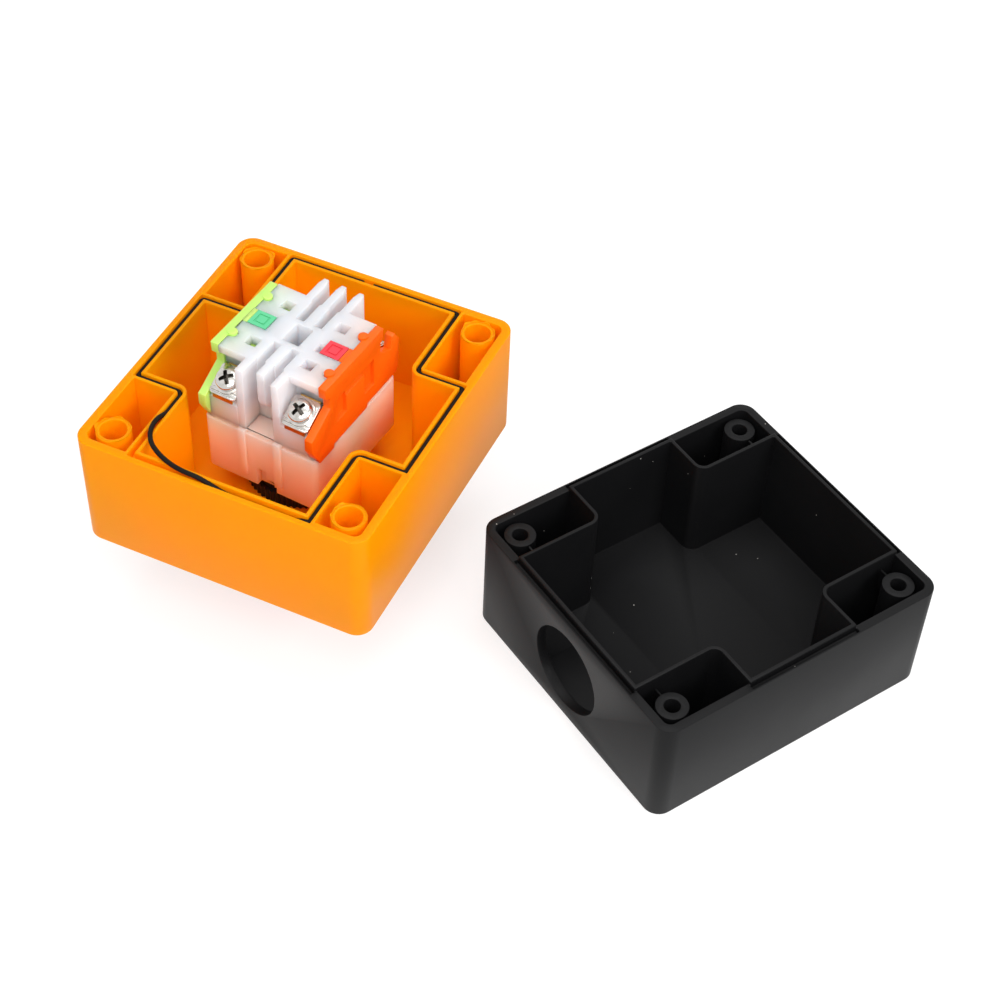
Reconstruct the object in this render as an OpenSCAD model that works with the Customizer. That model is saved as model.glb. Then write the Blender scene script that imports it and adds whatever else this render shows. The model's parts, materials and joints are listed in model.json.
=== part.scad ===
// Surface mounted emergency stop switch box, opened for wiring.
// The black base stands on its closed face. The cover lies beside it, turned upside down,
// and stands on its mushroom head with the contact block upwards.

/* [Enclosure] */
// Width of each half of the box
box_w = 72; // [71:0.5:78]
// Length of each half of the box
box_l = 78; // [77:0.5:84]
// Height of each half from its closed face to its rim
half_h = 30.6; // [30:0.2:34]
// Radius of the upright outer corners
corner_r = 4; // [2.5:0.5:5]
// Thickness of the outer walls in the corner pockets
wall = 2.2; // [1.8:0.1:2.4]
// Thickness of the closed face of each half
panel_t = 2.6; // [2.2:0.1:3]
// Radius of the cavity corners beside the pockets
pocket_r = 3; // [2.6:0.2:4]

/* [Sealing rim] */
// Distance from the outer faces to the middle of the sealing track
track_inset = 2.1; // [2:0.05:2.4]
// Distance from the middle of the box to the sealing track of a pocket, across
track_x = 22; // [21:0.25:23]
// Distance from the middle of the box to the sealing track of a pocket, along
track_y = 14.65; // [14:0.25:15.5]
// Width of the groove for the seal in the cover rim
groove_w = 1.2; // [1.1:0.05:1.4]
// Depth of the groove for the seal
groove_d = 2.4; // [2.2:0.1:2.8]
// Thickness of the ridge between the groove and the cavity
ridge_t = 0.9; // [0.7:0.1:1.2]
// Thickness of the lip between the groove and a pocket
lip_t = 0.8; // [0.6:0.1:1]
// Thickness of the tongue that stands on the base rim
tongue_t = 0.9; // [0.7:0.05:1]
// Height of the tongue above the base rim
tongue_h = 1; // [0.6:0.1:1.4]

/* [Screw posts] */
// Distance from the outer faces to the axis of a screw post
post_inset = 6.8; // [6.6:0.1:7.4]
// Outer radius of the tubes in the cover
tube_r = 4; // [3.8:0.1:4.2]
// Radius of the open bore of the tubes in the cover
tube_bore_r = 3.05; // [2.6:0.05:3.2]
// Outer radius of the bosses in the base
boss_r = 3.75; // [3.4:0.05:4]
// Radius of the pilot holes in the bosses
pilot_r = 1.85; // [1.4:0.05:2.2]
// Depth of the pilot holes
pilot_depth = 18; // [12:1:22]

/* [Cable entry] */
// Radius of the round cable entry
entry_r = 11.25; // [8:0.25:12]
// Height of the entry axis above the closed face
entry_z = 15; // [14.5:0.25:16]

/* [Push button] */
// Radius of the mushroom head
head_r = 20; // [17:0.5:21]
// Distance from the cover face to the top of the head
head_stand = 28; // [27.5:0.25:32]
// Travel of the button when it is pressed
press_travel = 4; // [3:0.25:4]
// Radius of the threaded sleeve
sleeve_r = 11; // [10:0.25:11.2]

/* [Contact block] */
// Height of the top of the contact block above the outer face of the cover
block_top = 44.5; // [44.5:0.25:47]
// Height of the joint between the contact block and its mount
block_z = 27; // [26:0.25:27]
// Half width of the block over its two side plates
side_x = 15.1; // [14.9:0.1:15.6]
// Half length of the block over its terminal shelves
shelf_y = 16.6; // [16.2:0.1:17]
// Slope of the terminal shelves
shelf_slope = 29; // [26:1:31]

/* [Placement] */
// Sideways place of the opened cover beside the base
cover_x = -73.6; // [-100:0.1:-72]
// Lengthwise place of the opened cover beside the base
cover_y = -63.6; // [-100:0.1:-60]
// Turn of the cover against the base
cover_turn = 31.5; // [20:0.5:40]
// Turn of the contact block in the cover
switch_turn = -5; // [-8:0.5:8]

/* [Hidden] */
$fn = 64;

// One overrun for all cuts, and the clearances that the fits share
over = 0.5;
fit = 0.05;
slide_fit = 0.1;
touch_gap = 0.1;

// Posts and their holes
post_x = box_w / 2 - post_inset;
post_y = box_l / 2 - post_inset;
boss_drop = 1;
web_t = 0.9;
web_reach = 6.4;
web_drop = 9;
fin_t = 0.4;
fin_reach = 6;
fin_drop = 0.6;
fin_h = 6;
screw_hole_r = 2.1;
head_sink_r = 3.6;
head_sink_d = 2;
ledge_t = 3;

// Base rim, and the pad inside the cable entry
base_lip = 0.45;
base_groove_d = 1.2;
pad_x = 12;
pad_y = 8.4;
pad_h = 0.9;

// Seal cord
seal_w = 1.1;
seal_h = 1.15;
seal_drop = 0.5;
seal_gap = 2.7;
seal_gap_x = -1.65;
bow_r = 9;
bow_wide_r = 20;
bow_reach = 10.9;
bow_end = 1.5;
seal_lift = 0.04;
dip_x0 = 3.5;
dip_x1 = 18.6;
dip_h = 0.9;
dip_step = 0.8;

// Bezel, gasket and locking ring. Heights are measured from the outer face of the cover.
gasket_t = 1;
gasket_r = 14.5;
hole_gap = 0.2;
flange_r = 14.8;
flange_t = 3.4;
neck_r = 13;
neck_z = 9;
neck_step = 1.2;
guide_half = 1.6;
sleeve_bore_r = 8.6;
sleeve_top = 15.4;
ring_r = 13.8;
ring_root_r = 13.3;
ring_teeth = 60;
ring_h = 3.4;
ring_hub_r = 12.6;
ring_top = 7;
ring_gap = 0.06;

// Mushroom head and stem
head_edge_share = 0.27;
head_rim_h = 6;
head_skin = 2.4;
head_boss_r = 10.4;
head_boss_z = 13.5;
head_skirt_z = 6;
head_skirt_t = 1.4;
head_dish = 2.6;
head_edge_r = 1;
stem_r = 5;
stem_neck_r = 4.4;
stem_tip_r = 3;
stem_tip_h = 3;
stem_end_z = 13.4;
stem_root = 4;
cam_r = 7.2;
cam_w = 3;
cam_z = 3;
cam_h = 2.4;

// Push plate
plate_hub_r = 6.4;
plate_hub_h = 5.9;
plate_bar_x = 12.3;
plate_bar_y = 3;
plate_bar_h = 3.4;
plate_z = stem_end_z + touch_gap;
plate_top = plate_z + plate_hub_h;
push_gap = 0.1;

// Springs
coil_sides = 6;
coil_steps = 10;
spring_wire_r = 0.45;
spring_mean_r = 6.5;
spring_turns = 7;
small_wire_r = 0.2;
small_mean_r = 1.75;
small_turns = 5;

// Mount under the contact block
collar_x = 15;
collar_y = 16.8;
collar_r = 1.5;
collar_z = 10.6;
collar_bore_top = 15.9;
collar_step = 0.6;
collar_step_h = 1;
slot_x = 12.9;
slot_y = 4.2;
hub_gap = 0.8;
collar_rib = 0.6;
collar_rib_z = 13;
notch_x = 0.6;
notch_w = 3.2;
notch_h = 3;
notch_slot_w = 1.9;
notch_slot_h = 5.4;
notch_d = 1.6;

// Contact block body
rib_w = 2;
rib_pitch = 4.7;
rib_back = 19;
rib_front = 16.5;
rib_mid_front = 15;
rib_mid_drop = 11.5;
rib_tip = 0.6;
core_y = 11;
core_slot_w = 2;
core_slot_y = 4.4;
core_slot_d = 6;
through_w = 4.3;
through_l = 6.1;
mod_in = rib_pitch + rib_w / 2;
mod_out = 13.1;
top_y = 12;
top_edge_h = 2.1;
top_t = 2.6;
wall_y = 9.7;
wall_top = 41.8;
cav_in = 6.9;
cav_y = 8.3;
cav_floor = 1.2;
window_w = 2.8;
window_x = 7.3;
window_y = 6.9;
peg_r = 1.15;
peg_gap = 0.15;
peg_rise = 0.3;
peg_depth = 2;
peg_x = 12.7;
gap_slot_w = 1.4;
gap_slot_l = 2.6;
gap_slot_d = 2.2;

// Plungers and their moving bridges
plunger_x = 9.55;
plunger_w = 4.8;
plunger_l = 4.6;
plunger_head_h = 1.6;
plunger_neck_r = 1.3;
shoulder_z = 34.4;
shoulder_w = 4.6;
shoulder_l = 4;
foot_z = 24;
foot_w = 3.6;
foot_l = 3;
emboss_w = 2.9;
emboss_line = 0.4;
emboss_d = 0.25;
neck_slot = 2.8;
bridge_w = 3;
bridge_y = 7.4;
bridge_t = 0.6;
button_r = 1.2;
button_h = 0.5;
button_y = 6;
bridge_no_z = 29.5;
bridge_nc_z = 33;

// Fixed contact strips, clamps and screws, in the frame of the terminal shelf
strip_in = 4.4;
strip_t = 0.8;
strip_w = 5.2;
strip_wall = 0.8;
term_y = 13.1;
term_z = 35.9;
strip_hole_r = 1.72;
clamp_w = 6.9;
clamp_back = 3.5;
clamp_front = 4;
clamp_t = 0.9;
clamp_r = 1;
clamp_lip_t = 0.5;
clamp_lip_drop = 0.6;
clamp_hole_r = 1.9;
clamp_ring_r = 3.3;
clamp_ring_h = 0.35;
tooth_w = 0.35;
tooth_pitch = 0.8;
tooth_d = 0.25;
screw_r = 1.65;
screw_depth = 4;
screw_head_r = 2.8;
screw_head_h = 2;
screw_seat = 0.04;
cross_l = 3.4;
cross_w = 0.8;
cross_d = 1.1;
shank_gap = 0.25;
shank_hole_depth = 4.4;

// Side plates
tab_h = 1.5;
arm_t = 1.2;
arm_y = 3.2;
plate_lift = 0.2;

function shelf_at(y) = term_z - tan(shelf_slope) * (y - term_y);
function strip_drop() = strip_t / cos(shelf_slope);

// Rounded outline of either half of the box
module rounded_plan(w, l, r) {
    square([w - 2 * r, l], center = true);
    square([w, l - 2 * r], center = true);
    for (sx = [-1, 1], sy = [-1, 1])
        translate([sx * (w / 2 - r), sy * (l / 2 - r)])
            circle(r);
}

module in_corners() {
    for (mx = [0, 1], my = [0, 1])
        mirror([mx, 0, 0])
            mirror([0, my, 0])
                children();
}

// Everything outside a pair of crossed arms: the four corner fields
module corner_plan(x0, y0, r) {
    in_corners() {
        translate([x0 + r, y0])
            square([box_w, box_l]);
        translate([x0, y0 + r])
            square([box_w, box_l]);
        if (r > 0)
            translate([x0 + r, y0 + r])
                circle(r);
    }
}

// The crossed arms themselves, inside half sizes hx and hy
module cross_plan(hx, hy, x0, y0, r) {
    difference() {
        square([2 * hx, 2 * hy], center = true);
        corner_plan(x0, y0, r);
    }
}

// A cross that lies a distance d towards the cavity from the middle of the sealing track
module track_cross(d, depth) {
    cross_plan(
        box_w / 2 - track_inset - d,
        box_l / 2 - track_inset - d,
        track_x - d,
        track_y - d,
        max(0, pocket_r - depth + d)
    );
}

// A corner pocket with its wall a distance d outside the middle of the track
module pocket_plan(d, depth) {
    intersection() {
        rounded_plan(box_w - 2 * wall, box_l - 2 * wall, corner_r - wall);
        corner_plan(track_x + d, track_y + d, max(0, pocket_r - depth - d));
    }
}

module at_posts() {
    in_corners()
        translate([post_x, post_y, 0])
            children();
}

module post_web() {
    rotate([0, 0, 45])
        translate([0, -web_t / 2])
            square([web_reach, web_t]);
}

module base_box() {
    half = tongue_t / 2;
    color("#262628")
    difference() {
        union() {
            difference() {
                linear_extrude(half_h)
                    rounded_plan(box_w, box_l, corner_r);
                translate([0, 0, panel_t])
                    linear_extrude(half_h)
                        track_cross(half, half);
                translate([0, 0, panel_t])
                    linear_extrude(half_h)
                        pocket_plan(half, half);
            }
            translate([0, 0, half_h])
                linear_extrude(tongue_h)
                    difference() {
                        track_cross(-half, half);
                        track_cross(half, half);
                    }
            at_posts() {
                cylinder(h = half_h - boss_drop, r = boss_r);
                linear_extrude(half_h - boss_drop - web_drop)
                    post_web();
                translate([-fin_reach, -fin_t / 2, half_h - boss_drop - fin_drop - fin_h])
                    cube([fin_reach, fin_t, fin_h]);
            }
            translate([-pad_x, -box_l / 2 + wall, 0])
                cube([2 * pad_x, pad_y + track_inset, panel_t + pad_h]);
        }
        rim_grooves();
        at_posts()
            translate([0, 0, half_h - boss_drop - pilot_depth])
                cylinder(h = pilot_depth + over, r = pilot_r);
        translate([0, -box_l / 2 - over, entry_z])
            rotate([-90, 0, 0])
                cylinder(h = track_inset + tongue_t + over * 2, r = entry_r);
    }
}

// Shallow grooves outside the tongue, between the pockets
module rim_grooves() {
    width = track_inset - tongue_t / 2 - base_lip;
    long_x = 2 * (track_x + tongue_t / 2);
    long_y = 2 * (track_y + tongue_t / 2);
    for (side = [0, 1])
        mirror([side, 0, 0])
            translate([box_w / 2 - base_lip - width, -long_y / 2, half_h - base_groove_d])
                cube([width, long_y, base_groove_d + over]);
    for (side = [0, 1])
        mirror([0, side, 0])
            translate([-long_x / 2, box_l / 2 - base_lip - width, half_h - base_groove_d])
                cube([long_x, width, base_groove_d + over]);
}

// Frame of the opened cover: heights run from its outer face up to its rim
module in_cover() {
    translate([cover_x, cover_y, head_stand])
        rotate([0, 0, cover_turn])
            children();
}

module in_switch() {
    in_cover()
        rotate([0, 0, switch_turn])
            children();
}

module cover_shell() {
    half = groove_w / 2;
    inner = half + ridge_t;
    outer = half + lip_t;
    color("#ff8f1e")
    in_cover()
    difference() {
        union() {
            difference() {
                linear_extrude(half_h)
                    rounded_plan(box_w, box_l, corner_r);
                translate([0, 0, panel_t])
                    linear_extrude(half_h)
                        track_cross(inner, inner);
                translate([0, 0, panel_t])
                    linear_extrude(half_h)
                        pocket_plan(outer, inner);
            }
            at_posts() {
                cylinder(h = half_h, r = tube_r);
                linear_extrude(half_h - web_drop)
                    post_web();
            }
        }
        translate([0, 0, half_h - groove_d])
            linear_extrude(groove_d + over)
                difference() {
                    track_cross(-half, inner);
                    track_cross(half, inner);
                }
        at_posts() {
            translate([0, 0, head_sink_d + ledge_t])
                cylinder(h = half_h, r = tube_bore_r);
            translate([0, 0, -over])
                cylinder(h = half_h, r = screw_hole_r);
            translate([0, 0, -over])
                cylinder(h = head_sink_d + over, r = head_sink_r);
        }
        translate([0, 0, -over])
            cylinder(h = panel_t + 2 * over, r = sleeve_r + hole_gap);
    }
}

// Rubber cord in the groove. Its ends leave a gap. At one pocket it has sprung out of the
// groove and bows across the corner of the cavity, and further on it lies deeper.
module cover_seal() {
    half = seal_w / 2;
    inner = groove_w / 2 + ridge_t;
    bottom = half_h - seal_drop - seal_h;
    line_x = track_x;
    line_y = box_l / 2 - track_inset;
    turn = asin((bow_wide_r - bow_reach) / (bow_wide_r - bow_r));
    bow_x = -line_x + bow_r;
    bow_y = -line_y + bow_reach;
    wide_x = bow_x + (bow_wide_r - bow_r) * cos(turn);
    wide_y = -line_y + bow_wide_r;
    top = half_h + seal_lift + seal_h;
    color("#1c1a19")
    in_cover() {
        translate([0, 0, bottom])
            linear_extrude(seal_h)
                difference() {
                    track_cross(-half, inner);
                    track_cross(half, inner);
                    translate([seal_gap_x - seal_gap / 2, line_y - seal_w])
                        square([seal_gap, 2 * seal_w]);
                    translate([-line_x - seal_w, -line_y - seal_w])
                        square([dip_x1 + line_x + seal_w, bow_reach + seal_w]);
                }
        translate([bow_x, bow_y, half_h + seal_lift])
            rotate([0, 0, 180])
                cord_arc(bow_r, turn);
        translate([wide_x, wide_y, half_h + seal_lift])
            rotate([0, 0, 180 + turn])
                cord_arc(bow_wide_r, 90 - turn);
        translate([-line_x - half, bow_y, bottom])
            cube([seal_w, bow_end, top - bottom]);
        translate([wide_x, -line_y - half, half_h - groove_d])
            cube([bow_end, seal_w, top - half_h + groove_d]);
        translate([wide_x, -line_y - half, half_h - groove_d])
            cube([dip_x1 + dip_step - wide_x, seal_w, dip_h]);
        translate([wide_x, -line_y - half, bottom])
            cube([dip_x0 - wide_x, seal_w, seal_h]);
        translate([dip_x1, -line_y - half, half_h - groove_d])
            cube([dip_step, seal_w, bottom + seal_h - half_h + groove_d]);
    }
}

module cord_arc(r, sweep) {
    rotate_extrude(angle = sweep)
        translate([r - seal_w / 2, 0])
            square([seal_w, seal_h]);
}

module panel_gasket() {
    color("#222222")
    in_cover()
        translate([0, 0, -gasket_t])
            difference() {
                cylinder(h = gasket_t, r = gasket_r);
                translate([0, 0, -over])
                    cylinder(h = gasket_t + 2 * over, r = sleeve_r + fit);
            }
}

module bezel() {
    flange_z = -gasket_t - flange_t;
    color("#2a2a2a")
    in_cover()
        rotate_extrude()
            polygon([
                [stem_r + slide_fit, -guide_half],
                [head_boss_r + slide_fit, -guide_half],
                [head_boss_r + slide_fit, -neck_z],
                [neck_r, -neck_z],
                [neck_r, flange_z - neck_step],
                [flange_r, flange_z],
                [flange_r, -gasket_t],
                [sleeve_r, -gasket_t],
                [sleeve_r, sleeve_top],
                [sleeve_bore_r, sleeve_top],
                [sleeve_bore_r, guide_half],
                [stem_r + slide_fit, guide_half]
            ]);
}

// Serrated plastic nut inside the cover
module locking_ring() {
    step = 180 / ring_teeth;
    color("#1b1b1b")
    in_cover()
        translate([0, 0, panel_t])
            difference() {
                union() {
                    linear_extrude(ring_h)
                        polygon([
                            for (i = [0 : 2 * ring_teeth - 1])
                                let (r = i % 2 == 0 ? ring_r : ring_root_r)
                                    [r * cos(i * step), r * sin(i * step)]
                        ]);
                    cylinder(h = ring_top - panel_t, r = ring_hub_r);
                }
                translate([0, 0, -over])
                    cylinder(h = ring_top, r = sleeve_r + ring_gap);
            }
}

module mushroom_head() {
    top = -head_stand;
    edge = top + head_r * head_edge_share;
    color("#d4202c")
    in_cover()
        rotate_extrude()
            polygon([
                [0, top],
                for (a = [10 : 10 : 90])
                    [head_r * sin(a), edge - (edge - top) * cos(a)],
                [head_r, edge + head_rim_h - head_edge_r],
                [head_r - head_edge_r, edge + head_rim_h],
                [head_r - head_skin, edge + head_rim_h],
                [head_r - head_skin, edge + head_dish],
                [head_boss_r, top + stem_root + head_dish],
                [head_boss_r, -head_skirt_z],
                [head_boss_r - head_skirt_t, -head_skirt_z],
                [head_boss_r - head_skirt_t, -head_boss_z],
                [stem_r + fit, -head_boss_z],
                [stem_r + fit, top + stem_root - fit],
                [0, top + stem_root - fit]
            ]);
}

// Stem with the two cams that hold the pressed button until it is twisted
module button_stem() {
    color("#3a3a3a")
    in_cover() {
        rotate_extrude()
            polygon([
                [0, -head_stand + stem_root],
                [stem_r, -head_stand + stem_root],
                [stem_r, cam_z + cam_h],
                [stem_neck_r, cam_z + cam_h],
                [stem_neck_r, stem_end_z],
                [stem_tip_r, stem_end_z],
                [stem_tip_r, stem_end_z + stem_tip_h],
                [0, stem_end_z + stem_tip_h]
            ]);
        translate([0, 0, cam_z])
            linear_extrude(cam_h)
                intersection() {
                    circle(cam_r);
                    square([2 * cam_r, cam_w], center = true);
                }
    }
}

// Spring wire wound as one unbroken tube from height z0 to z1
module coil(mean_r, wire_r, z0, z1, turns) {
    rings = turns * coil_steps;
    rise = z1 - z0 - 2 * wire_r;
    points = [
        for (i = [0 : rings], k = [0 : coil_sides - 1])
            let (
                a = i * 360 / coil_steps,
                b = k * 360 / coil_sides,
                r = mean_r + wire_r * cos(b)
            )
                [r * cos(a), r * sin(a), z0 + wire_r + rise * i / rings + wire_r * sin(b)]
    ];
    sides = [
        for (i = [0 : rings - 1], k = [0 : coil_sides - 1])
            let (
                p = i * coil_sides + k,
                q = i * coil_sides + (k + 1) % coil_sides
            )
                each [
                    [p, q, q + coil_sides],
                    [p, q + coil_sides, p + coil_sides]
                ]
    ];
    last = rings * coil_sides;
    ends = [
        for (k = [1 : coil_sides - 2])
            each [
                [0, k + 1, k],
                [last, last + k, last + k + 1]
            ]
    ];
    polyhedron(points = points, faces = concat(sides, ends));
}

module return_spring() {
    color("#c8ccd0")
    in_cover()
        coil(spring_mean_r, spring_wire_r, -head_boss_z + touch_gap, -guide_half - touch_gap,
            spring_turns);
}

module push_plate() {
    color("#e8e8ea")
    in_switch()
        translate([0, 0, plate_z])
            difference() {
                union() {
                    cylinder(h = plate_hub_h, r = plate_hub_r);
                    translate([-plate_bar_x, -plate_bar_y, plate_hub_h - plate_bar_h])
                        cube([2 * plate_bar_x, 2 * plate_bar_y, plate_bar_h]);
                }
                translate([0, 0, -over])
                    cylinder(h = stem_tip_h + over, r = stem_tip_r + fit);
            }
}

// White mount that holds the contact block on the sleeve
module mount_collar() {
    height = block_z - collar_z;
    color("#e9e6e4")
    in_switch()
    difference() {
        union() {
            translate([0, 0, collar_z])
                linear_extrude(height - collar_step_h)
                    rounded_plan(2 * collar_x, 2 * collar_y, collar_r);
            translate([0, 0, collar_z])
                linear_extrude(height)
                    rounded_plan(2 * (collar_x - collar_step), 2 * (collar_y - collar_step),
                        collar_r - collar_step);
            for (sx = [-1, 1])
                translate([sx * rib_pitch - rib_w / 2, -collar_y - collar_rib, collar_rib_z])
                    cube([rib_w, 2 * (collar_y + collar_rib), block_z - collar_rib_z]);
        }
        translate([0, 0, collar_z - over])
            cylinder(h = collar_bore_top - collar_z + over, r = sleeve_r + slide_fit);
        translate([-slot_x, -slot_y, collar_bore_top - over])
            cube([2 * slot_x, 2 * slot_y, height]);
        translate([0, 0, collar_bore_top - over])
            cylinder(h = height, r = plate_hub_r + hub_gap);
        translate([notch_x, -collar_y - over, collar_z - over])
            cube([notch_w, notch_d + over, notch_h + over]);
        translate([notch_x - notch_slot_w, -collar_y - over, collar_z - over])
            cube([notch_slot_w + over, notch_d + over, notch_slot_h + over]);
        for (side = [0, 1])
            mirror([side, 0, 0])
                translate([mod_out - fit, 0, 0])
                    rotate([90, 0, 90])
                        linear_extrude(side_x)
                            plate_foot(slide_fit);
    }
}

// Outline of one module of the contact block, seen from its side
module module_profile() {
    polygon([
        for (s = [-1, 1])
            each [
                for (p = s < 0 ? half_profile() : reversed(half_profile()))
                    [s * p[0], p[1]]
            ]
    ]);
}

function half_profile() = [
    [shelf_y, block_z],
    [shelf_y, shelf_at(shelf_y) - strip_drop()],
    [wall_y, shelf_at(wall_y) - strip_drop()],
    [wall_y, wall_top],
    [top_y, block_top - top_edge_h],
    [top_y, block_top]
];

function reversed(list) = [for (i = [len(list) - 1 : -1 : 0]) list[i]];

// Path of a fixed contact strip, grown by g for the slot that it lies in
module strip_profile(inner_z, g) {
    corner_y = cav_y - g;
    polygon([
        [strip_in - g, inner_z + strip_t + g],
        [corner_y, inner_z + strip_t + g],
        [corner_y, shelf_at(corner_y) + g],
        [shelf_y + g, shelf_at(shelf_y + g) + g],
        [shelf_y + g, shelf_at(shelf_y + g) - strip_drop()],
        [cav_y + strip_wall + g, shelf_at(cav_y + strip_wall + g) - strip_drop()],
        [cav_y + strip_wall + g, inner_z - g],
        [strip_in - g, inner_z - g]
    ]);
}

function strip_z_no() = bridge_no_z + bridge_t + 2 * button_h + press_travel + touch_gap;
function strip_z_nc() = bridge_nc_z - 2 * button_h - touch_gap - strip_t;

module on_both_ends() {
    for (side = [0, 1])
        mirror([0, side, 0])
            children();
}

// Frame on a terminal shelf, its height square to the slope
module at_terminal(sx, sy) {
    mirror([sx < 0 ? 1 : 0, 0, 0])
        mirror([0, sy < 0 ? 1 : 0, 0])
            translate([plunger_x, term_y, term_z])
                rotate([-shelf_slope, 0, 0])
                    children();
}

module block_module(inner_z) {
    difference() {
        translate([mod_in, 0, 0])
            rotate([90, 0, 90])
                linear_extrude(mod_out - mod_in)
                    module_profile();
        translate([cav_in, -cav_y, block_z + cav_floor])
            cube([mod_out, 2 * cav_y, block_top - top_t - block_z - cav_floor]);
        translate([plunger_x - shoulder_w / 2 - slide_fit, -shoulder_l / 2 - slide_fit, 0])
            cube([shoulder_w + 2 * slide_fit, shoulder_l + 2 * slide_fit, block_top - top_t]);
        translate([plunger_x - neck_slot / 2, -neck_slot / 2, block_z])
            cube([mod_out, neck_slot, block_top]);
        translate([plunger_x - plunger_w / 2 - slide_fit, -plunger_l / 2 - slide_fit,
            block_top - plunger_head_h - slide_fit])
            cube([mod_out, plunger_l + 2 * slide_fit, plunger_head_h + slide_fit + over]);
        for (sy = [-1, 1]) {
            translate([window_x, sy * window_y, block_top - top_t / 2])
                cube([window_w, window_w, top_t + over], center = true);
            translate([peg_x, sy * window_y, block_top - top_t - over]) {
                cylinder(h = top_t + 2 * over, r = peg_r + peg_gap);
                translate([0, -peg_r - peg_gap, 0])
                    cube([peg_x, 2 * (peg_r + peg_gap), top_t + 2 * over]);
            }
        }
        on_both_ends()
            translate([cav_in, 0, 0])
                rotate([90, 0, 90])
                    linear_extrude(mod_out)
                        strip_profile(inner_z, fit);
        for (sy = [-1, 1])
            at_terminal(1, sy)
                translate([0, 0, -shank_hole_depth])
                    cylinder(h = shank_hole_depth + over, r = screw_r + shank_gap);
    }
}

// White body: two contact modules beside a ribbed core
module contact_body() {
    color("#eceaea")
    in_switch()
    difference() {
        union() {
            block_module(strip_z_nc());
            mirror([1, 0, 0])
                block_module(strip_z_no());
            translate([-mod_in, -core_y, block_z])
                cube([2 * mod_in, 2 * core_y, block_top - block_z]);
            for (sx = [-1, 1])
                translate([sx * rib_pitch - rib_w / 2, -rib_front, block_z])
                    cube([rib_w, rib_front + core_y, block_top - block_z]);
            translate([0, -rib_mid_front, 0])
                rotate([90, 0, 90])
                    translate([0, 0, -rib_w / 2])
                        linear_extrude(rib_w)
                            rib_nose();
            for (i = [-1, 0, 1])
                translate([i * rib_pitch, 0, 0])
                    back_rib();
        }
        for (sx = [-1, 1], sy = [-1, 1])
            translate([sx * rib_pitch / 2, sy * (core_slot_y + core_y / 2), block_top])
                cube([core_slot_w, core_y, 2 * core_slot_d], center = true);
        translate([-through_w / 2, -through_l / 2, block_z - over])
            cube([through_w, through_l, block_top]);
        translate([plunger_x - plunger_w / 2 - gap_slot_w, -plunger_l / 2 - slide_fit,
            block_top - gap_slot_d])
            cube([gap_slot_w + slide_fit, gap_slot_l, gap_slot_d + over]);
    }
}

// Short middle rib at the front, rounded at its foot
module rib_nose() {
    low = block_top - rib_mid_drop;
    reach = rib_mid_front - core_y;
    translate([0, low + reach])
        square([reach + over, rib_mid_drop - reach]);
    intersection() {
        translate([reach, low + reach])
            circle(reach);
        translate([0, low])
            square([reach + over, 2 * reach]);
    }
}

// Rib that runs out behind the block and thins to a point at its end
module back_rib() {
    translate([0, 0, block_z])
        linear_extrude(block_top - block_z)
            polygon([
                [-rib_w / 2, core_y - over],
                [rib_w / 2, core_y - over],
                [rib_w / 2, rib_back - rib_w],
                [rib_tip, rib_back],
                [-rib_tip, rib_back],
                [-rib_w / 2, rib_back - rib_w]
            ]);
}

// Outlines of a side plate towards its front and back ends, as shares of its half length
// and of its height over the mount
plate_reach = 18.1;
plate_top_z = 44.7;
plate_front_shares = [
    [0.665, 1], [0.655, 0.83], [0.57, 0.79], [0.57, 0.617], [0.95, 0.4], [1, 0.383],
    [1, 0.2], [0.906, 0]
];
plate_back_shares = [
    [0.93, 0], [0.975, 0.08], [1, 0.54], [0.9, 0.697], [0.84, 0.686], [0.8, 0.5],
    [0.57, 0.617], [0.57, 0.79], [0.63, 0.83], [0.64, 1]
];
foot_shares = [
    [-0.9, 1], [-0.84, -1], [-0.52, -1], [-0.51, -0.5], [0.24, -0.5], [0.26, 1]
];
foot_drop = 2.2;

function plate_low() = block_z + plate_lift;

module plate_outline() {
    rise = plate_top_z - plate_low();
    polygon([
        for (p = plate_front_shares)
            [-p[0] * plate_reach, plate_low() + p[1] * rise],
        for (p = plate_back_shares)
            [p[0] * plate_reach, plate_low() + p[1] * rise]
    ]);
    plate_foot(0);
}

module plate_foot(g) {
    polygon([
        for (p = foot_shares)
            [p[0] * plate_reach + (p[0] < -0.7 ? -g : g),
                plate_low() + (p[1] > 0 ? over : p[1] * foot_drop - g)]
    ]);
}

recess_z0 = 31;
recess_h = 7.6;
recess_low = 1;
recess_d = 1;
recess_back_y = 3.4;
recess_back_w = 4;
recess_front_y = -8;
recess_front_w = 4;
field_d = 0.4;
field_drop = 1.6;

module side_plate() {
    thick = side_x - mod_out;
    tab_x = plunger_x + plunger_w / 2 + slide_fit;
    difference() {
        union() {
            translate([mod_out, 0, 0])
                rotate([90, 0, 90])
                    linear_extrude(thick)
                        plate_outline();
            translate([tab_x, -plunger_l / 2, block_top - tab_h])
                cube([mod_out - tab_x + over, plunger_l, tab_h]);
            for (sy = [-1, 1]) {
                translate([peg_x, sy * window_y, block_top - peg_depth])
                    cylinder(h = plate_top_z - block_top + peg_depth + peg_rise, r = peg_r);
                translate([cav_in + touch_gap, 0, 0])
                    scale_y(sy)
                        translate([0, arm_y, block_top - top_t - arm_t - touch_gap])
                            cube([mod_out - cav_in, cav_y - arm_y - touch_gap, arm_t]);
            }
        }
        translate([side_x - recess_d, recess_back_y, recess_z0])
            cube([side_x, recess_back_w, recess_h]);
        translate([side_x - recess_d, recess_front_y, recess_z0 + recess_low])
            cube([side_x, recess_front_w, recess_h - recess_low]);
        translate([side_x - field_d, recess_front_y, recess_z0 + recess_h - field_drop])
            cube([side_x, recess_back_y - recess_front_y + over, field_drop]);
    }
}

module scale_y(side) {
    mirror([0, side < 0 ? 1 : 0, 0])
        children();
}

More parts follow.
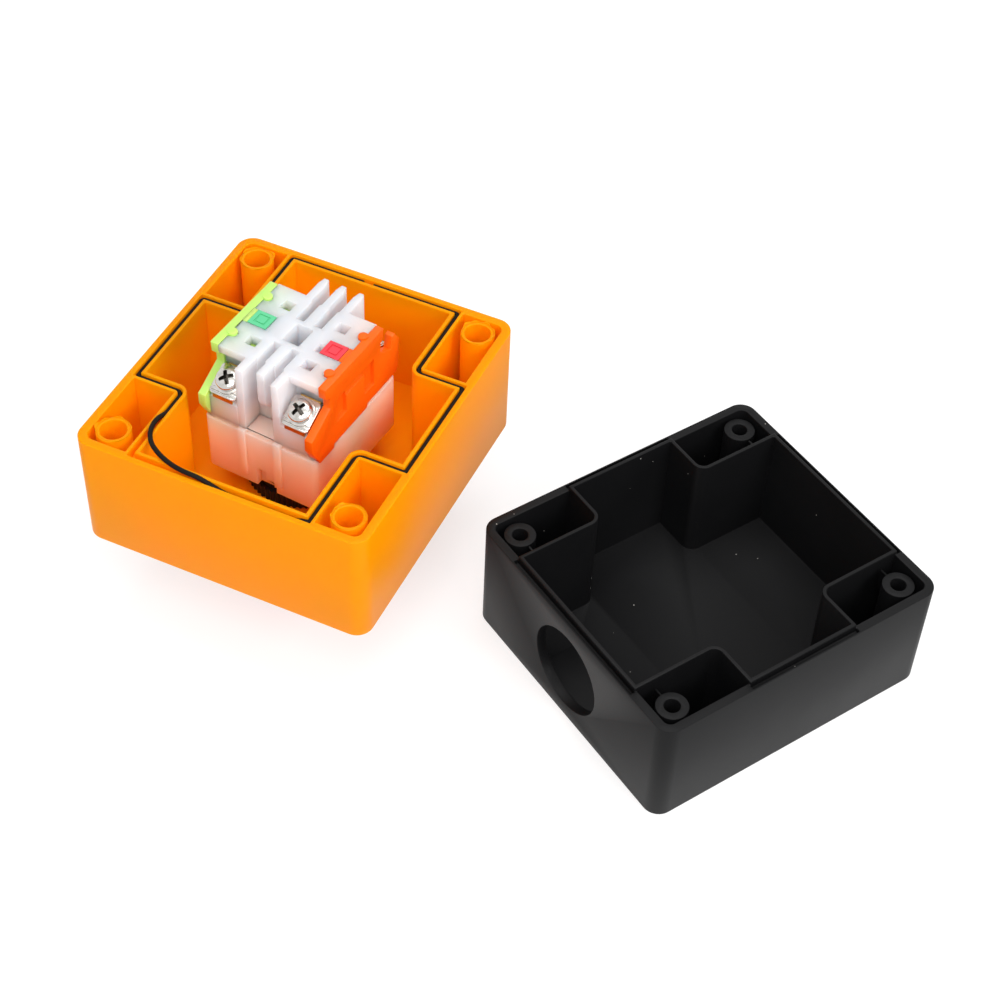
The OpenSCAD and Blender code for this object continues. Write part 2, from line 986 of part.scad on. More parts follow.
module green_side_plate() {
    color("#b4f04a")
    in_switch()
        mirror([1, 0, 0])
            side_plate();
}

module orange_side_plate() {
    color("#ff6a14")
    in_switch()
        side_plate();
}

// Square button that shows in the top, with the neck, shoulder and foot below it
module plunger(bridge_z) {
    low = plate_top + push_gap;
    difference() {
        union() {
            box_on_axis(plunger_w, plunger_l, block_top - plunger_head_h, block_top);
            translate([plunger_x, 0, shoulder_z])
                cylinder(h = block_top - shoulder_z - plunger_head_h, r = plunger_neck_r);
            box_on_axis(shoulder_w, shoulder_l, foot_z, shoulder_z);
            box_on_axis(foot_w, foot_l, low, foot_z);
        }
        translate([0, 0, -fit])
            box_on_axis(bridge_w + 2 * fit, shoulder_l + 2 * over, bridge_z,
                bridge_z + bridge_t + 2 * fit);
        difference() {
            box_on_axis(emboss_w, emboss_w, block_top - emboss_d, block_top + over);
            box_on_axis(emboss_w - 2 * emboss_line, emboss_w - 2 * emboss_line,
                block_top - 2 * emboss_d, block_top + 2 * over);
        }
    }
}

module box_on_axis(w, l, z0, z1) {
    translate([plunger_x - w / 2, -l / 2, z0])
        cube([w, l, z1 - z0]);
}

module bridge(z, side) {
    box_on_axis(bridge_w, 2 * bridge_y, z, z + bridge_t);
    for (sy = [-1, 1])
        translate([plunger_x, sy * button_y, side > 0 ? z + bridge_t : z - button_h])
            cylinder(h = button_h, r = button_r);
}

module fixed_contacts(inner_z, side) {
    on_both_ends()
        difference() {
            union() {
                translate([plunger_x - strip_w / 2, 0, 0])
                    rotate([90, 0, 90])
                        linear_extrude(strip_w)
                            strip_profile(inner_z, 0);
                translate([plunger_x, button_y, side > 0 ? inner_z + strip_t : inner_z - button_h])
                    cylinder(h = button_h, r = button_r);
            }
            at_terminal(1, 1)
                translate([0, 0, -strip_t - over])
                    cylinder(h = strip_t + 2 * over, r = strip_hole_r);
        }
}

module small_spring() {
    translate([plunger_x, 0, 0])
        coil(small_mean_r, small_wire_r, shoulder_z + touch_gap,
            block_top - top_t - touch_gap, small_turns);
}

module green_plunger() {
    color("#4fd39a")
    in_switch()
        mirror([1, 0, 0])
            plunger(bridge_no_z);
}

module red_plunger() {
    color("#ee3f55")
    in_switch()
        plunger(bridge_nc_z);
}

module bridge_no() {
    color("#c9a96a")
    in_switch()
        mirror([1, 0, 0])
            bridge(bridge_no_z, 1);
}

module bridge_nc() {
    color("#c9a96a")
    in_switch()
        bridge(bridge_nc_z, -1);
}

module spring_no() {
    color("#c8ccd0")
    in_switch()
        mirror([1, 0, 0])
            small_spring();
}

module spring_nc() {
    color("#c8ccd0")
    in_switch()
        small_spring();
}

module fixed_contacts_no() {
    color("#c9a96a")
    in_switch()
        mirror([1, 0, 0])
            fixed_contacts(strip_z_no(), -1);
}

module fixed_contacts_nc() {
    color("#c9a96a")
    in_switch()
        fixed_contacts(strip_z_nc(), 1);
}

// Square nickel plated clamp that lies on the contact strip under the screw head
module wire_clamp(sx, sy) {
    long = clamp_back + clamp_front;
    color("#d9dadb")
    in_switch()
    at_terminal(sx, sy)
    difference() {
        union() {
            translate([0, (clamp_front - clamp_back) / 2, touch_gap])
                linear_extrude(clamp_t)
                    rounded_plan(clamp_w, long, clamp_r);
            for (side = [0, 1])
                mirror([side, 0, 0])
                    translate([clamp_w / 2 - clamp_lip_t, clamp_r - clamp_back, -clamp_lip_drop])
                        cube([clamp_lip_t, long - 2 * clamp_r,
                            clamp_lip_drop + touch_gap + clamp_t]);
            translate([0, 0, touch_gap])
                cylinder(h = clamp_t + clamp_ring_h, r = clamp_ring_r);
        }
        translate([0, 0, -over])
            cylinder(h = clamp_t + clamp_ring_h + 2 * over, r = clamp_hole_r);
        for (i = [1, 2])
            translate([-clamp_w / 2 - over, clamp_front - i * tooth_pitch,
                touch_gap + clamp_t - tooth_d])
                difference() {
                    cube([clamp_w + 2 * over, tooth_w, tooth_d + over]);
                    translate([clamp_w / 2 + over, i * tooth_pitch - clamp_front, 0])
                        cylinder(h = 2 * over + tooth_d, r = clamp_ring_r, center = true);
                }
    }
}

// Clamp screw with a cross recess
module terminal_screw(sx, sy) {
    seat = touch_gap + clamp_t + clamp_ring_h + screw_seat;
    color("#d0d2d4")
    in_switch()
    at_terminal(sx, sy)
    difference() {
        rotate_extrude()
            polygon([
                [0, -screw_depth],
                [screw_r, -screw_depth],
                [screw_r, seat],
                [screw_head_r, seat],
                for (a = [0 : 15 : 90])
                    [screw_head_r * cos(a), seat + screw_head_h * (1 + sin(a)) / 2]
            ]);
        for (turn = [0, 90])
            rotate([0, 0, turn])
                translate([-cross_l / 2, -cross_w / 2, seat + screw_head_h - cross_d])
                    cube([cross_l, cross_w, cross_d + over]);
    }
}

module clamp_no_front() wire_clamp(-1, -1);
module clamp_no_back() wire_clamp(-1, 1);
module clamp_nc_front() wire_clamp(1, -1);
module clamp_nc_back() wire_clamp(1, 1);
module screw_no_front() terminal_screw(-1, -1);
module screw_no_back() terminal_screw(-1, 1);
module screw_nc_front() terminal_screw(1, -1);
module screw_nc_back() terminal_screw(1, 1);

base_box();
cover_shell();
cover_seal();
panel_gasket();
bezel();
locking_ring();
mushroom_head();
button_stem();
return_spring();
push_plate();
mount_collar();
contact_body();
green_side_plate();
orange_side_plate();
green_plunger();
red_plunger();
bridge_no();
bridge_nc();
spring_no();
spring_nc();
fixed_contacts_no();
fixed_contacts_nc();
clamp_no_front();
clamp_no_back();
clamp_nc_front();
clamp_nc_back();
screw_no_front();
screw_no_back();
screw_nc_front();
screw_nc_back();
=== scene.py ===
"""Dressed model of an opened emergency stop switch box.

The black base stands on its closed face. The orange cover lies beside it, upside down on
its mushroom head, with the white contact block, its terminals and the rubber seal on view.
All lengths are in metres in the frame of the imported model.
"""

import json
import logging
import math
import random
from collections.abc import Sequence
from dataclasses import dataclass
from enum import Enum

import bmesh
import bpy
from mathutils import Matrix, Vector


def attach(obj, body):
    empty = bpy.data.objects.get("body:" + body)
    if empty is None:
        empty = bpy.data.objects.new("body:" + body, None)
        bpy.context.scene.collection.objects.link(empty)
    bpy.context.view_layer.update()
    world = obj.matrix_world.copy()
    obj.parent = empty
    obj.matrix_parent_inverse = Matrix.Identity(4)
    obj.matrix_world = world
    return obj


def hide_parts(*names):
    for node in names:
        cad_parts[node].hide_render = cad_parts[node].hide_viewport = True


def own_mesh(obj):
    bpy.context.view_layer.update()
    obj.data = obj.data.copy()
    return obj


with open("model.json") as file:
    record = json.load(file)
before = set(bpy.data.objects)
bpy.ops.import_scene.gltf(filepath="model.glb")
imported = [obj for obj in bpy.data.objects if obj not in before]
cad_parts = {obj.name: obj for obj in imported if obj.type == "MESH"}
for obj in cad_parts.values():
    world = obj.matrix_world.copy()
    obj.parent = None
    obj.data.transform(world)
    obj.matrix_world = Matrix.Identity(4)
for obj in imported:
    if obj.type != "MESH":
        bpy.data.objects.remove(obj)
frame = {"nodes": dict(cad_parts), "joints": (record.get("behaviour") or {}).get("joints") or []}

logging.basicConfig(level=logging.INFO, format="%(message)s")
log = logging.getLogger("switch_box")

# Short names for Blender's types
Tree = bpy.types.NodeTree
Socket = bpy.types.NodeSocket
Node = bpy.types.Node
Material = bpy.types.Material
Piece = bpy.types.Object
Mesh = bmesh.types.BMesh

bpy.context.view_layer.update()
MM = 0.001


class Body(str, Enum):
    """Bodies that are named here. A terminal's bodies are named after the terminal."""

    BASE = "base"
    COVER = "cover"
    HEAD = "head"


class Module(str, Enum):
    """The two contact modules of the block."""

    NORMALLY_OPEN = "no"
    NORMALLY_CLOSED = "nc"


class End(str, Enum):
    """The two ends of a contact module."""

    FRONT = "front"
    BACK = "back"


@dataclass(frozen=True)
class CoverFrame:
    """Frame of the opened cover: heights run from its outer face up to its rim.

    Attributes:
        turn: Turn of the cover about the vertical, in degrees.
        stand: Height of the cover's outer face over the floor.
        half_h: Height of either half of the box.
    """

    turn: float = 31.5
    stand: float = 28 * MM
    half_h: float = 30.6 * MM

    def middle(self) -> Vector:
        """Gives the point of the outer face that lies on the button's axis."""
        twist = find_joint("head_twist")
        return Vector((twist["pos_m"][0], twist["pos_m"][1], self.stand))

    def matrix(self) -> Matrix:
        """Gives the move from the cover's frame to the model's frame."""
        turn = Matrix.Rotation(math.radians(self.turn), 4, "Z")
        return Matrix.Translation(self.middle()) @ turn


COVER = CoverFrame()
# Turn of the contact block about the vertical, in degrees
BLOCK_TURN = 26.5
# Distances from the block's middle where the side plates' painted light starts and is full
PAINTED_LIGHT_FROM = 5 * MM
PAINTED_LIGHT_TO = 12.5 * MM
# Share of a side plate's painted light where it is full
PAINTED_LIGHT_MOST = 0.6
# Flow marks in a moulded skin: their size, and how far they shift its roughness
FLOW_SIZE = 22.22 * MM
FLOW_DETAIL = 3.0
FLOW_TWIST = 0.6
SMOOTHER = 0.05
ROUGHER = 0.07
# Eroded grain of a moulded skin. The real one is finer than the render shows
GRAIN_SIZE = 0.4 * MM
GRAIN_DETAIL = 2.0
GRAIN_STRENGTH = 0.6
COAT_ROUGHNESS = 0.12
# Dust: size of a cell with one speck at most, and the speck's share of it
DUST_CELL = 3.846 * MM
SPECK_SHARE = 0.035
DUST_COLOUR = "b9b6b0"
# Plating: size of its dull clouds and of its handling marks, and the marks' height
CLOUD_SIZE = 1.4286 * MM
CLOUD_DETAIL = 4.0
MARK_SIZE = 3.125 * MM
MARK_DETAIL = 1.0
MARK_HEIGHT = 0.06 * MM
MARK_STRENGTH = 0.5
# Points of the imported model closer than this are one, and flatter edges than this go
MERGE_GAP = 0.002 * MM
FLAT_ANGLE = 0.4
# An edge is rounded where both its faces reach this many times the rounding's width
LEAST_REACH = 2.2
# Edges that turn more than this, in degrees, are rounded, with this many faces across
SHARP_ANGLE = 35.0
ROUND_STEPS = 2
# Sides of a tooth on the locking ring
TOOTH_SIDES = 10
# Sockets of a colour mix, whose names repeat: share, colour below, colour over it, result
MIX_SHARE, MIX_BELOW, MIX_OVER, MIX_RESULT = 0, 6, 7, 2
# Face attribute that marks the deep faces of a screw's recess, which take the painted shade
RECESS_MARK = "recess"

# Materials


def linear(colour: str) -> tuple[float, float, float, float]:
    """Turns a written sRGB colour into linear light.

    Args:
        colour: Six hex digits, such as "ff8800".

    Returns:
        Red, green, blue and full alpha in linear light.
    """
    parts = [int(colour[i : i + 2], 16) / 255 for i in (0, 2, 4)]
    light = [p / 12.92 if p <= 0.04045 else ((p + 0.055) / 1.055) ** 2.4 for p in parts]
    return (light[0], light[1], light[2], 1.0)


def add_node(tree: Tree, kind: str, values: dict | None = None, **settings: object) -> Node:
    """Adds a node to a tree with its settings, values and links.

    Args:
        tree: Tree that takes the node.
        kind: Blender's name of the node type.
        values: Input sockets by name or number, each with a value or an output socket.
        **settings: Attributes of the node itself.

    Returns:
        The new node.
    """
    node = tree.nodes.new(kind)
    for name, setting in settings.items():
        setattr(node, name, setting)
    for key, value in (values or {}).items():
        if isinstance(value, Socket):
            tree.links.new(value, node.inputs[key])
        else:
            node.inputs[key].default_value = value
    return node


def ease(share: float) -> float:
    """Turns a share into one that starts and ends gently, held between zero and one."""
    share = min(1.0, max(0.0, share))
    return share * share * (3 - 2 * share)


def new_material(name: str) -> tuple[Material, Tree]:
    """Starts a material with an empty node tree.

    Args:
        name: Name of the material.

    Returns:
        The material and its tree.
    """
    material = bpy.data.materials.new(name)
    material.use_nodes = True
    material.node_tree.nodes.clear()
    return material, material.node_tree


@dataclass(frozen=True)
class Plastic:
    """Moulded plastic with faint flow marks, a fine eroded grain, a little dust, and on a milky
    plastic painted light from the parts around it.

    Attributes:
        name: Name of the material.
        colour: Main colour, six hex digits.
        shade: Second colour of the faint flow marks.
        roughness: Roughness of the skin.
        grain: Height of the fine grain in metres.
        depth: Distance that light travels under the skin, in metres.
        glow: Share of the light that goes under the skin.
        spread: How the three colours travel under the skin.
        coat: Weight of the clear top gloss.
        shine: Strength of the surface reflection.
        dust: Share of the small pale specks that are kept.
        tint: Colour of painted light on a milky plastic, in place of the coloured light that comes
            up from what lies below it, or none.
        tint_low: Height at which that painted light is full.
        tint_high: Height at which it has gone.
        sides: Colours of painted light on a milky plastic, in place of the light from the left and
            the right side plate, or none.
    """

    name: str
    colour: str
    shade: str
    roughness: float = 0.4
    grain: float = 0.02 * MM
    depth: float = 0.0
    glow: float = 0.0
    spread: tuple[float, float, float] = (1.0, 0.6, 0.3)
    coat: float = 0.0
    shine: float = 0.5
    dust: float = 0.0
    tint: str = ""
    tint_low: float = 0.0
    tint_high: float = 0.0
    sides: tuple[str, str] | None = None

    def make(self) -> Material:
        """Builds the material.

        Returns:
            A node material on Object coordinates.
        """
        material, tree = new_material(self.name)
        place = add_node(tree, "ShaderNodeTexCoord").outputs["Object"]
        values = {
            "Vector": place,
            "Scale": 1 / FLOW_SIZE,
            "Detail": FLOW_DETAIL,
            "Distortion": FLOW_TWIST,
        }
        flow = add_node(tree, "ShaderNodeTexNoise", values).outputs["Fac"]
        colour = linear(self.colour)
        for share, layer in self.layers(tree, place, flow):
            values = {MIX_SHARE: share, MIX_BELOW: colour, MIX_OVER: layer}
            mix = add_node(tree, "ShaderNodeMix", values, data_type="RGBA")
            colour = mix.outputs[MIX_RESULT]
        values = {
            "Value": flow,
            "To Min": self.roughness - SMOOTHER,
            "To Max": self.roughness + ROUGHER,
        }
        rough = add_node(tree, "ShaderNodeMapRange", values).outputs["Result"]
        values = {"Vector": place, "Scale": 1 / GRAIN_SIZE, "Detail": GRAIN_DETAIL}
        grain = add_node(tree, "ShaderNodeTexNoise", values).outputs["Fac"]
        values = {"Height": grain, "Distance": self.grain, "Strength": GRAIN_STRENGTH}
        values = {
            "Base Color": colour,
            "Roughness": rough,
            "Normal": add_node(tree, "ShaderNodeBump", values).outputs["Normal"],
            "Specular IOR Level": self.shine,
            "Coat Weight": self.coat,
            "Coat Roughness": COAT_ROUGHNESS,
        }
        if self.glow > 0:
            values["Subsurface Weight"] = self.glow
            values["Subsurface Radius"] = self.spread
            values["Subsurface Scale"] = self.depth
        shader = add_node(tree, "ShaderNodeBsdfPrincipled", values)
        add_node(tree, "ShaderNodeOutputMaterial", {"Surface": shader.outputs[0]})
        return material

    def layers(self, tree: Tree, place: Socket, flow: Socket) -> list[tuple[Socket, tuple]]:
        """Works out what lies over the main colour, from the lowest layer up: flow marks, painted
        light from the parts around, then dust.

        Args:
            tree: Tree that takes the nodes.
            place: Coordinates of the patterns.
            flow: Pattern of the flow marks.

        Returns:
            Share and colour of each layer.
        """
        layers = [(flow, linear(self.shade))]
        fades = []
        # Painted light of the side plates, green on the left and orange on the right, fading in
        # away from the block's middle
        if self.sides:
            turn = (0, 0, math.radians(BLOCK_TURN))
            values = {"Vector": place, "Location": COVER.middle(), "Rotation": turn}
            own = add_node(tree, "ShaderNodeMapping", values, vector_type="TEXTURE")
            split = add_node(tree, "ShaderNodeSeparateXYZ", {0: own.outputs["Vector"]})
            for side, tint in zip((-1, 1), self.sides):
                reach = (side * PAINTED_LIGHT_FROM, side * PAINTED_LIGHT_TO)
                fades.append((split.outputs["X"], *reach, PAINTED_LIGHT_MOST, tint))
        # Painted light from the orange cover below, full low down and gone higher up
        if self.tint:
            split = add_node(tree, "ShaderNodeSeparateXYZ", {0: place})
            reach = (self.tint_high, self.tint_low)
            fades.append((split.outputs["Z"], *reach, 1.0, self.tint))
        for value, start, full, most, tint in fades:
            values = {"Value": value, "From Min": start, "From Max": full, "To Max": most}
            fade = add_node(tree, "ShaderNodeMapRange", values, interpolation_type="SMOOTHSTEP")
            layers.append((fade.outputs["Result"], linear(tint)))
        if self.dust > 0:
            layers.append((self.specks(tree, place), linear(DUST_COLOUR)))
        return layers

    def specks(self, tree: Tree, place: Socket) -> Socket:
        """Scatters dust specks and keeps a share of them.

        Args:
            tree: Tree that takes the nodes.
            place: Coordinates of the pattern.

        Returns:
            A mask that is one on a speck.
        """
        cells = add_node(tree, "ShaderNodeTexVoronoi", {"Vector": place, "Scale": 1 / DUST_CELL})
        split = add_node(tree, "ShaderNodeSeparateColor", {"Color": cells.outputs["Color"]})
        limits = ((cells.outputs["Distance"], SPECK_SHARE), (split.outputs["Red"], self.dust))
        small, kept = (
            add_node(tree, "ShaderNodeMath", {0: value, 1: limit}, operation="LESS_THAN").outputs[0]
            for value, limit in limits
        )
        both = add_node(tree, "ShaderNodeMath", {0: small, 1: kept}, operation="MULTIPLY")
        return both.outputs[0]


@dataclass(frozen=True)
class Metal:
    """Plated or drawn metal with soft dulling and small handling marks.

    Attributes:
        name: Name of the material.
        colour: Colour of the reflection, six hex digits.
        dull: Colour where the plating is duller.
        roughness: Roughness where it is brightest.
        wear: How much rougher the dull places are.
    """

    name: str
    colour: str
    dull: str
    roughness: float = 0.12
    wear: float = 0.18

    def make(self) -> Material:
        """Builds the material.

        Returns:
            A node material on Object coordinates.
        """
        material, tree = new_material(self.name)
        place = add_node(tree, "ShaderNodeTexCoord").outputs["Object"]
        values = {"Vector": place, "Scale": 1 / CLOUD_SIZE, "Detail": CLOUD_DETAIL}
        cloud = add_node(tree, "ShaderNodeTexNoise", values).outputs["Fac"]
        bright, dull = linear(self.colour), linear(self.dull)
        values = {MIX_SHARE: cloud, MIX_BELOW: bright, MIX_OVER: dull}
        mix = add_node(tree, "ShaderNodeMix", values, data_type="RGBA")
        worn = self.roughness + self.wear
        values = {"Value": cloud, "To Min": self.roughness, "To Max": worn}
        rough = add_node(tree, "ShaderNodeMapRange", values).outputs["Result"]
        values = {"Vector": place, "Scale": 1 / MARK_SIZE, "Detail": MARK_DETAIL}
        marks = add_node(tree, "ShaderNodeTexNoise", values).outputs["Fac"]
        values = {"Height": marks, "Distance": MARK_HEIGHT, "Strength": MARK_STRENGTH}
        values = {
            "Base Color": mix.outputs[MIX_RESULT],
            "Roughness": rough,
            "Normal": add_node(tree, "ShaderNodeBump", values).outputs["Normal"],
            "Metallic": 1.0,
        }
        shader = add_node(tree, "ShaderNodeBsdfPrincipled", values)
        add_node(tree, "ShaderNodeOutputMaterial", {"Surface": shader.outputs[0]})
        return material


# Moulded ABS of the base: satin black, with a little dust inside
BASE_BLACK = Plastic("base_black_plastic", "0b0b0c", "111112", roughness=0.44, shine=0.15, dust=0.3)
# Moulded ABS of the cover: half glossy orange, lit through a little at its thin edges
COVER_ORANGE = Plastic(
    "cover_orange_plastic", "ff8e00", "ff9500", roughness=0.38, depth=6 * MM, glow=0.45,
    spread=(1.0, 0.4, 0.02), shine=0.07,
)
# Moulded rubber of the seal cord and the gasket: matt black
SEAL_RUBBER = Plastic(
    "seal_black_rubber", "0c0806", "140f0b", roughness=0.6, grain=0.03 * MM, shine=0.15
)
# Moulded nylon of the bezel and the serrated locking ring: satin black
OPERATOR_BLACK = Plastic("operator_black_plastic", "101011", "171718", roughness=0.42, shine=0.35)
# Moulded ABS of the mushroom head: smooth red with a faint top gloss
HEAD_RED = Plastic("head_red_plastic", "d0161f", "c4121c", roughness=0.25, coat=0.3)
# Moulded acetal of the stem: dark grey
STEM_GREY = Plastic("stem_grey_plastic", "3c3d3f", "444547", roughness=0.4)
# Moulded nylon of the contact block: milky white, with painted coloured light in place of the
# orange light from the cover below it and the light of the side plates
NYLON_WHITE = Plastic(
    "nylon_milky_white", "e0dfe3", "d7d6db", roughness=0.42, depth=9 * MM, glow=1.0,
    spread=(1.0, 0.8, 0.7), shine=0.35, tint="f8c49c", tint_low=44 * MM, tint_high=66 * MM,
    sides=("dcefc4", "f6c6b6"),
)
# Moulded polycarbonate of the normally open side plate: glowing yellow green
PLATE_GREEN = Plastic(
    "plate_yellow_green", "c6f278", "bcee6c", roughness=0.4, depth=3 * MM, glow=0.6,
    spread=(0.7, 1.0, 0.45),
)
# Moulded polycarbonate of the normally closed side plate: half glossy orange
PLATE_ORANGE = Plastic(
    "plate_orange", "fb6a0a", "f66208", roughness=0.36, depth=1 * MM, glow=0.15,
    spread=(1.0, 0.4, 0.1), shine=0.25,
)
# Moulded acetal of the normally open plunger: sea green
PLUNGER_GREEN = Plastic("plunger_sea_green", "66cf98", "5cc58e", roughness=0.45, shine=0.35)
# Moulded acetal of the normally closed plunger: raspberry red
PLUNGER_RED = Plastic("plunger_red", "ea4450", "df3b48", roughness=0.45, shine=0.35)
# Nickel plated steel of the clamps and screws: bright, with dull clouds
NICKEL = Metal("terminal_nickel_plating", "ebe8e3", "b3aea7", roughness=0.1, wear=0.14)
# Painted shade: the same nickel painted dull and dark deep in the screws' recesses, where shade
# falls
RECESS_PAINTED_SHADE = Metal("recess_painted_shade_metal", "8d8780", "2b2825", roughness=0.22)
# Rolled brass of the contact strips and bridges: warm and softly dulled
BRASS = Metal("contact_rolled_brass", "d9b36a", "b88f4a", roughness=0.22)
# Drawn steel wire of the springs: grey and fairly bright
SPRING_STEEL = Metal("spring_drawn_steel", "c9ccd0", "9fa3a8", roughness=0.25)


# Mesh helpers


def merged_copy(node: str) -> Mesh:
    """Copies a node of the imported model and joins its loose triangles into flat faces.

    Args:
        node: Name of the node.

    Returns:
        A new bmesh, which the caller frees.
    """
    mesh = bmesh.new()
    mesh.from_mesh(frame["nodes"][node].data)
    bmesh.ops.remove_doubles(mesh, verts=mesh.verts, dist=MERGE_GAP)
    flat = math.radians(FLAT_ANGLE)
    bmesh.ops.dissolve_limit(mesh, angle_limit=flat, verts=mesh.verts, edges=mesh.edges)
    return mesh


def to_object(mesh: Mesh, name: str, smooth_angle: float = 32.0) -> Piece:
    """Puts a bmesh into the scene as an object at the origin, and frees it.

    Args:
        mesh: The finished mesh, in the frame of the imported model.
        name: Name of the new object.
        smooth_angle: Edges that turn less than this, in degrees, are shaded smooth.

    Returns:
        The new object.
    """
    data = bpy.data.meshes.new(name)
    for face in mesh.faces:
        face.smooth = True
    limit = math.radians(smooth_angle)
    for edge in mesh.edges:
        edge.smooth = len(edge.link_faces) == 2 and edge.calc_face_angle(0.0) < limit
    mesh.to_mesh(data)
    mesh.free()
    return new_object(name, data)


def face_reach(face: bmesh.types.BMFace, edge: bmesh.types.BMEdge) -> float:
    """Measures how far a face reaches away from one of its edges.

    Args:
        face: The face.
        edge: One of its edges.

    Returns:
        The reach square to the edge, in metres.
    """
    across = face.normal.cross(edge.verts[1].co - edge.verts[0].co).normalized()
    reach = [across.dot(v.co) for v in face.verts]
    return max(reach) - min(reach)


def round_edges(mesh: Mesh, width: float) -> None:
    """Rounds every sharp edge of a mesh in place.

    Args:
        mesh: Mesh to change.
        width: Width of the rounding in metres.
    """
    limit = math.radians(SHARP_ANGLE)
    sharp = [
        e
        for e in mesh.edges
        if len(e.link_faces) == 2
        and e.calc_face_angle(0.0) > limit
        and min(face_reach(f, e) for f in e.link_faces) > LEAST_REACH * width
    ]
    bmesh.ops.bevel(
        mesh,
        geom=sharp,
        offset=width,
        offset_type="OFFSET",
        segments=ROUND_STEPS,
        profile=0.5,
        affect="EDGES",
        clamp_overlap=False,
        harden_normals=False,
    )


def dress(piece: Piece, material: Material) -> None:
    """Gives an object one material.

    Args:
        piece: Object to dress.
        material: Its material.
    """
    piece.data.materials.clear()
    piece.data.materials.append(material)


def rounded_piece(
    node: str, body: Body | str, slot: str, material: Material, width: float
) -> Piece:
    """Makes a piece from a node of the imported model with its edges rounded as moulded.

    Args:
        node: Node that the piece stands for.
        body: Body that it rides on.
        slot: Material slot of the record.
        material: Material of the piece.
        width: Width of the edge rounding in metres.

    Returns:
        The finished piece.
    """
    mesh = merged_copy(node)
    round_edges(mesh, width)
    piece = to_object(mesh, f"{node}_moulded")
    dress(piece, material)
    return mount(piece, body, slot, node)


def find_joint(name: str) -> dict:
    """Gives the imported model's joint of that name."""
    return next(j for j in frame["joints"] if j["name"] == name)


def coiled_spring(node: str, material: Material) -> None:
    """Makes a spring with a mesh of its own that rides on the cover.

    Args:
        node: Node that the spring stands for.
        material: Material of the wire.
    """
    spring = to_object(merged_copy(node), f"{node}_coiled", smooth_angle=40.0)
    dress(spring, material)
    mount(spring, Body.COVER, "spring_steel", node)
    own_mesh(spring)


def keep_node(node: str, material: Material) -> None:
    """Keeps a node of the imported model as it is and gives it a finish.

    Args:
        node: Name of the node.
        material: Its material.
    """
    target = frame["nodes"][node]
    if not target.material_slots:
        target.data.materials.append(material)
    for place in target.material_slots:
        place.material = material


def new_object(name: str, data: bpy.types.Mesh) -> Piece:
    """Puts a mesh into the scene as an object at the origin.

    Args:
        name: Name of the object.
        data: Its mesh.

    Returns:
        The new object.
    """
    piece = bpy.data.objects.new(name, data)
    bpy.context.scene.collection.objects.link(piece)
    return piece


def point_mesh(points: Sequence[Vector]) -> bpy.types.Mesh:
    """Makes a mesh of points, joined by edges into a path where there are several.

    Args:
        points: Points in order.

    Returns:
        The mesh.
    """
    data = bpy.data.meshes.new("route")
    edges = [(i, i + 1) for i in range(len(points) - 1)]
    data.from_pydata([tuple(p) for p in points], edges, [])
    return data


def mount(piece: Piece, body: Body | str, slot: str, *nodes: str) -> Piece:
    """Fixes a finished piece to its body and hides the nodes that it replaces.

    Args:
        piece: The finished piece.
        body: Body that it rides on.
        slot: Material slot of the record; not used.
        *nodes: Nodes that it replaces.

    Returns:
        The same piece.
    """
    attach(piece, str(getattr(body, "value", body)))
    if nodes:
        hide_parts(*nodes)
    log.info("%s: %d faces", piece.name, len(piece.data.polygons))
    return piece


# Geometry node trees


class NodeTree:
    """A geometry node tree with named inputs, and the plain mesh that it grows.

    Attributes:
        tree: The tree itself.
        given: Output sockets of the tree's inputs, by name.
    """

    def __init__(self, name: str, inputs: Sequence[tuple[str, str]]) -> None:
        """Starts the tree.

        Args:
            name: Name of the tree.
            inputs: Name and socket type of each input after the geometry.
        """
        self.tree = bpy.data.node_groups.new(name, "GeometryNodeTree")
        sides = [("Geometry", "NodeSocketGeometry"), *inputs, ("Finish", "NodeSocketMaterial")]
        face = self.tree.interface
        for label, kind in sides:
            face.new_socket(label, in_out="INPUT", socket_type=kind)
        face.new_socket("Geometry", in_out="OUTPUT", socket_type="NodeSocketGeometry")
        self.given = self.tree.nodes.new("NodeGroupInput").outputs

    def add(self, kind: str, values: dict | None = None, **settings: object) -> Node:
        """Adds a node, as add_node does."""
        return add_node(self.tree, kind, values, **settings)

    def close(self, geometry: Socket, marked: str = "") -> None:
        """Ends the tree in real meshes with their finish.

        Args:
            geometry: What the tree has made.
            marked: Face attribute whose faces take the second finish, or none.
        """
        real = self.add("GeometryNodeRealizeInstances", {"Geometry": geometry})
        values = {"Geometry": real.outputs["Geometry"], "Material": self.given["Finish"]}
        dressed = self.add("GeometryNodeSetMaterial", values)
        if marked:
            values = {"Name": marked}
            mark = self.add("GeometryNodeInputNamedAttribute", values, data_type="BOOLEAN")
            values = {
                "Geometry": dressed.outputs["Geometry"],
                "Selection": mark.outputs["Attribute"],
                "Material": self.given["Second finish"],
            }
            dressed = self.add("GeometryNodeSetMaterial", values)
        self.add("NodeGroupOutput", {"Geometry": dressed.outputs["Geometry"]})

    def grow(self, base: Piece, name: str, finish: Material, **values: object) -> Piece:
        """Runs the tree on an object and keeps the result as a plain mesh.

        Args:
            base: Object with the route or the points, which is used up.
            name: Name of the new piece.
            finish: Material of the piece.
            **values: Inputs by name, with _ for a space.

        Returns:
            The new piece.
        """
        modifier = base.modifiers.new(name, "NODES")
        modifier.node_group = self.tree
        sockets = self.tree.interface.items_tree
        given = [s for s in sockets if s.item_type == "SOCKET" and s.in_out == "INPUT"]
        ids = {s.name: s.identifier for s in given}
        modifier[ids["Finish"]] = finish
        for label, value in values.items():
            modifier[ids[label.replace("_", " ").capitalize()]] = value
        graph = bpy.context.evaluated_depsgraph_get()
        data = bpy.data.meshes.new_from_object(base.evaluated_get(graph))
        data.name = name
        base.modifiers.remove(modifier)
        bpy.data.objects.remove(base)
        return new_object(name, data)


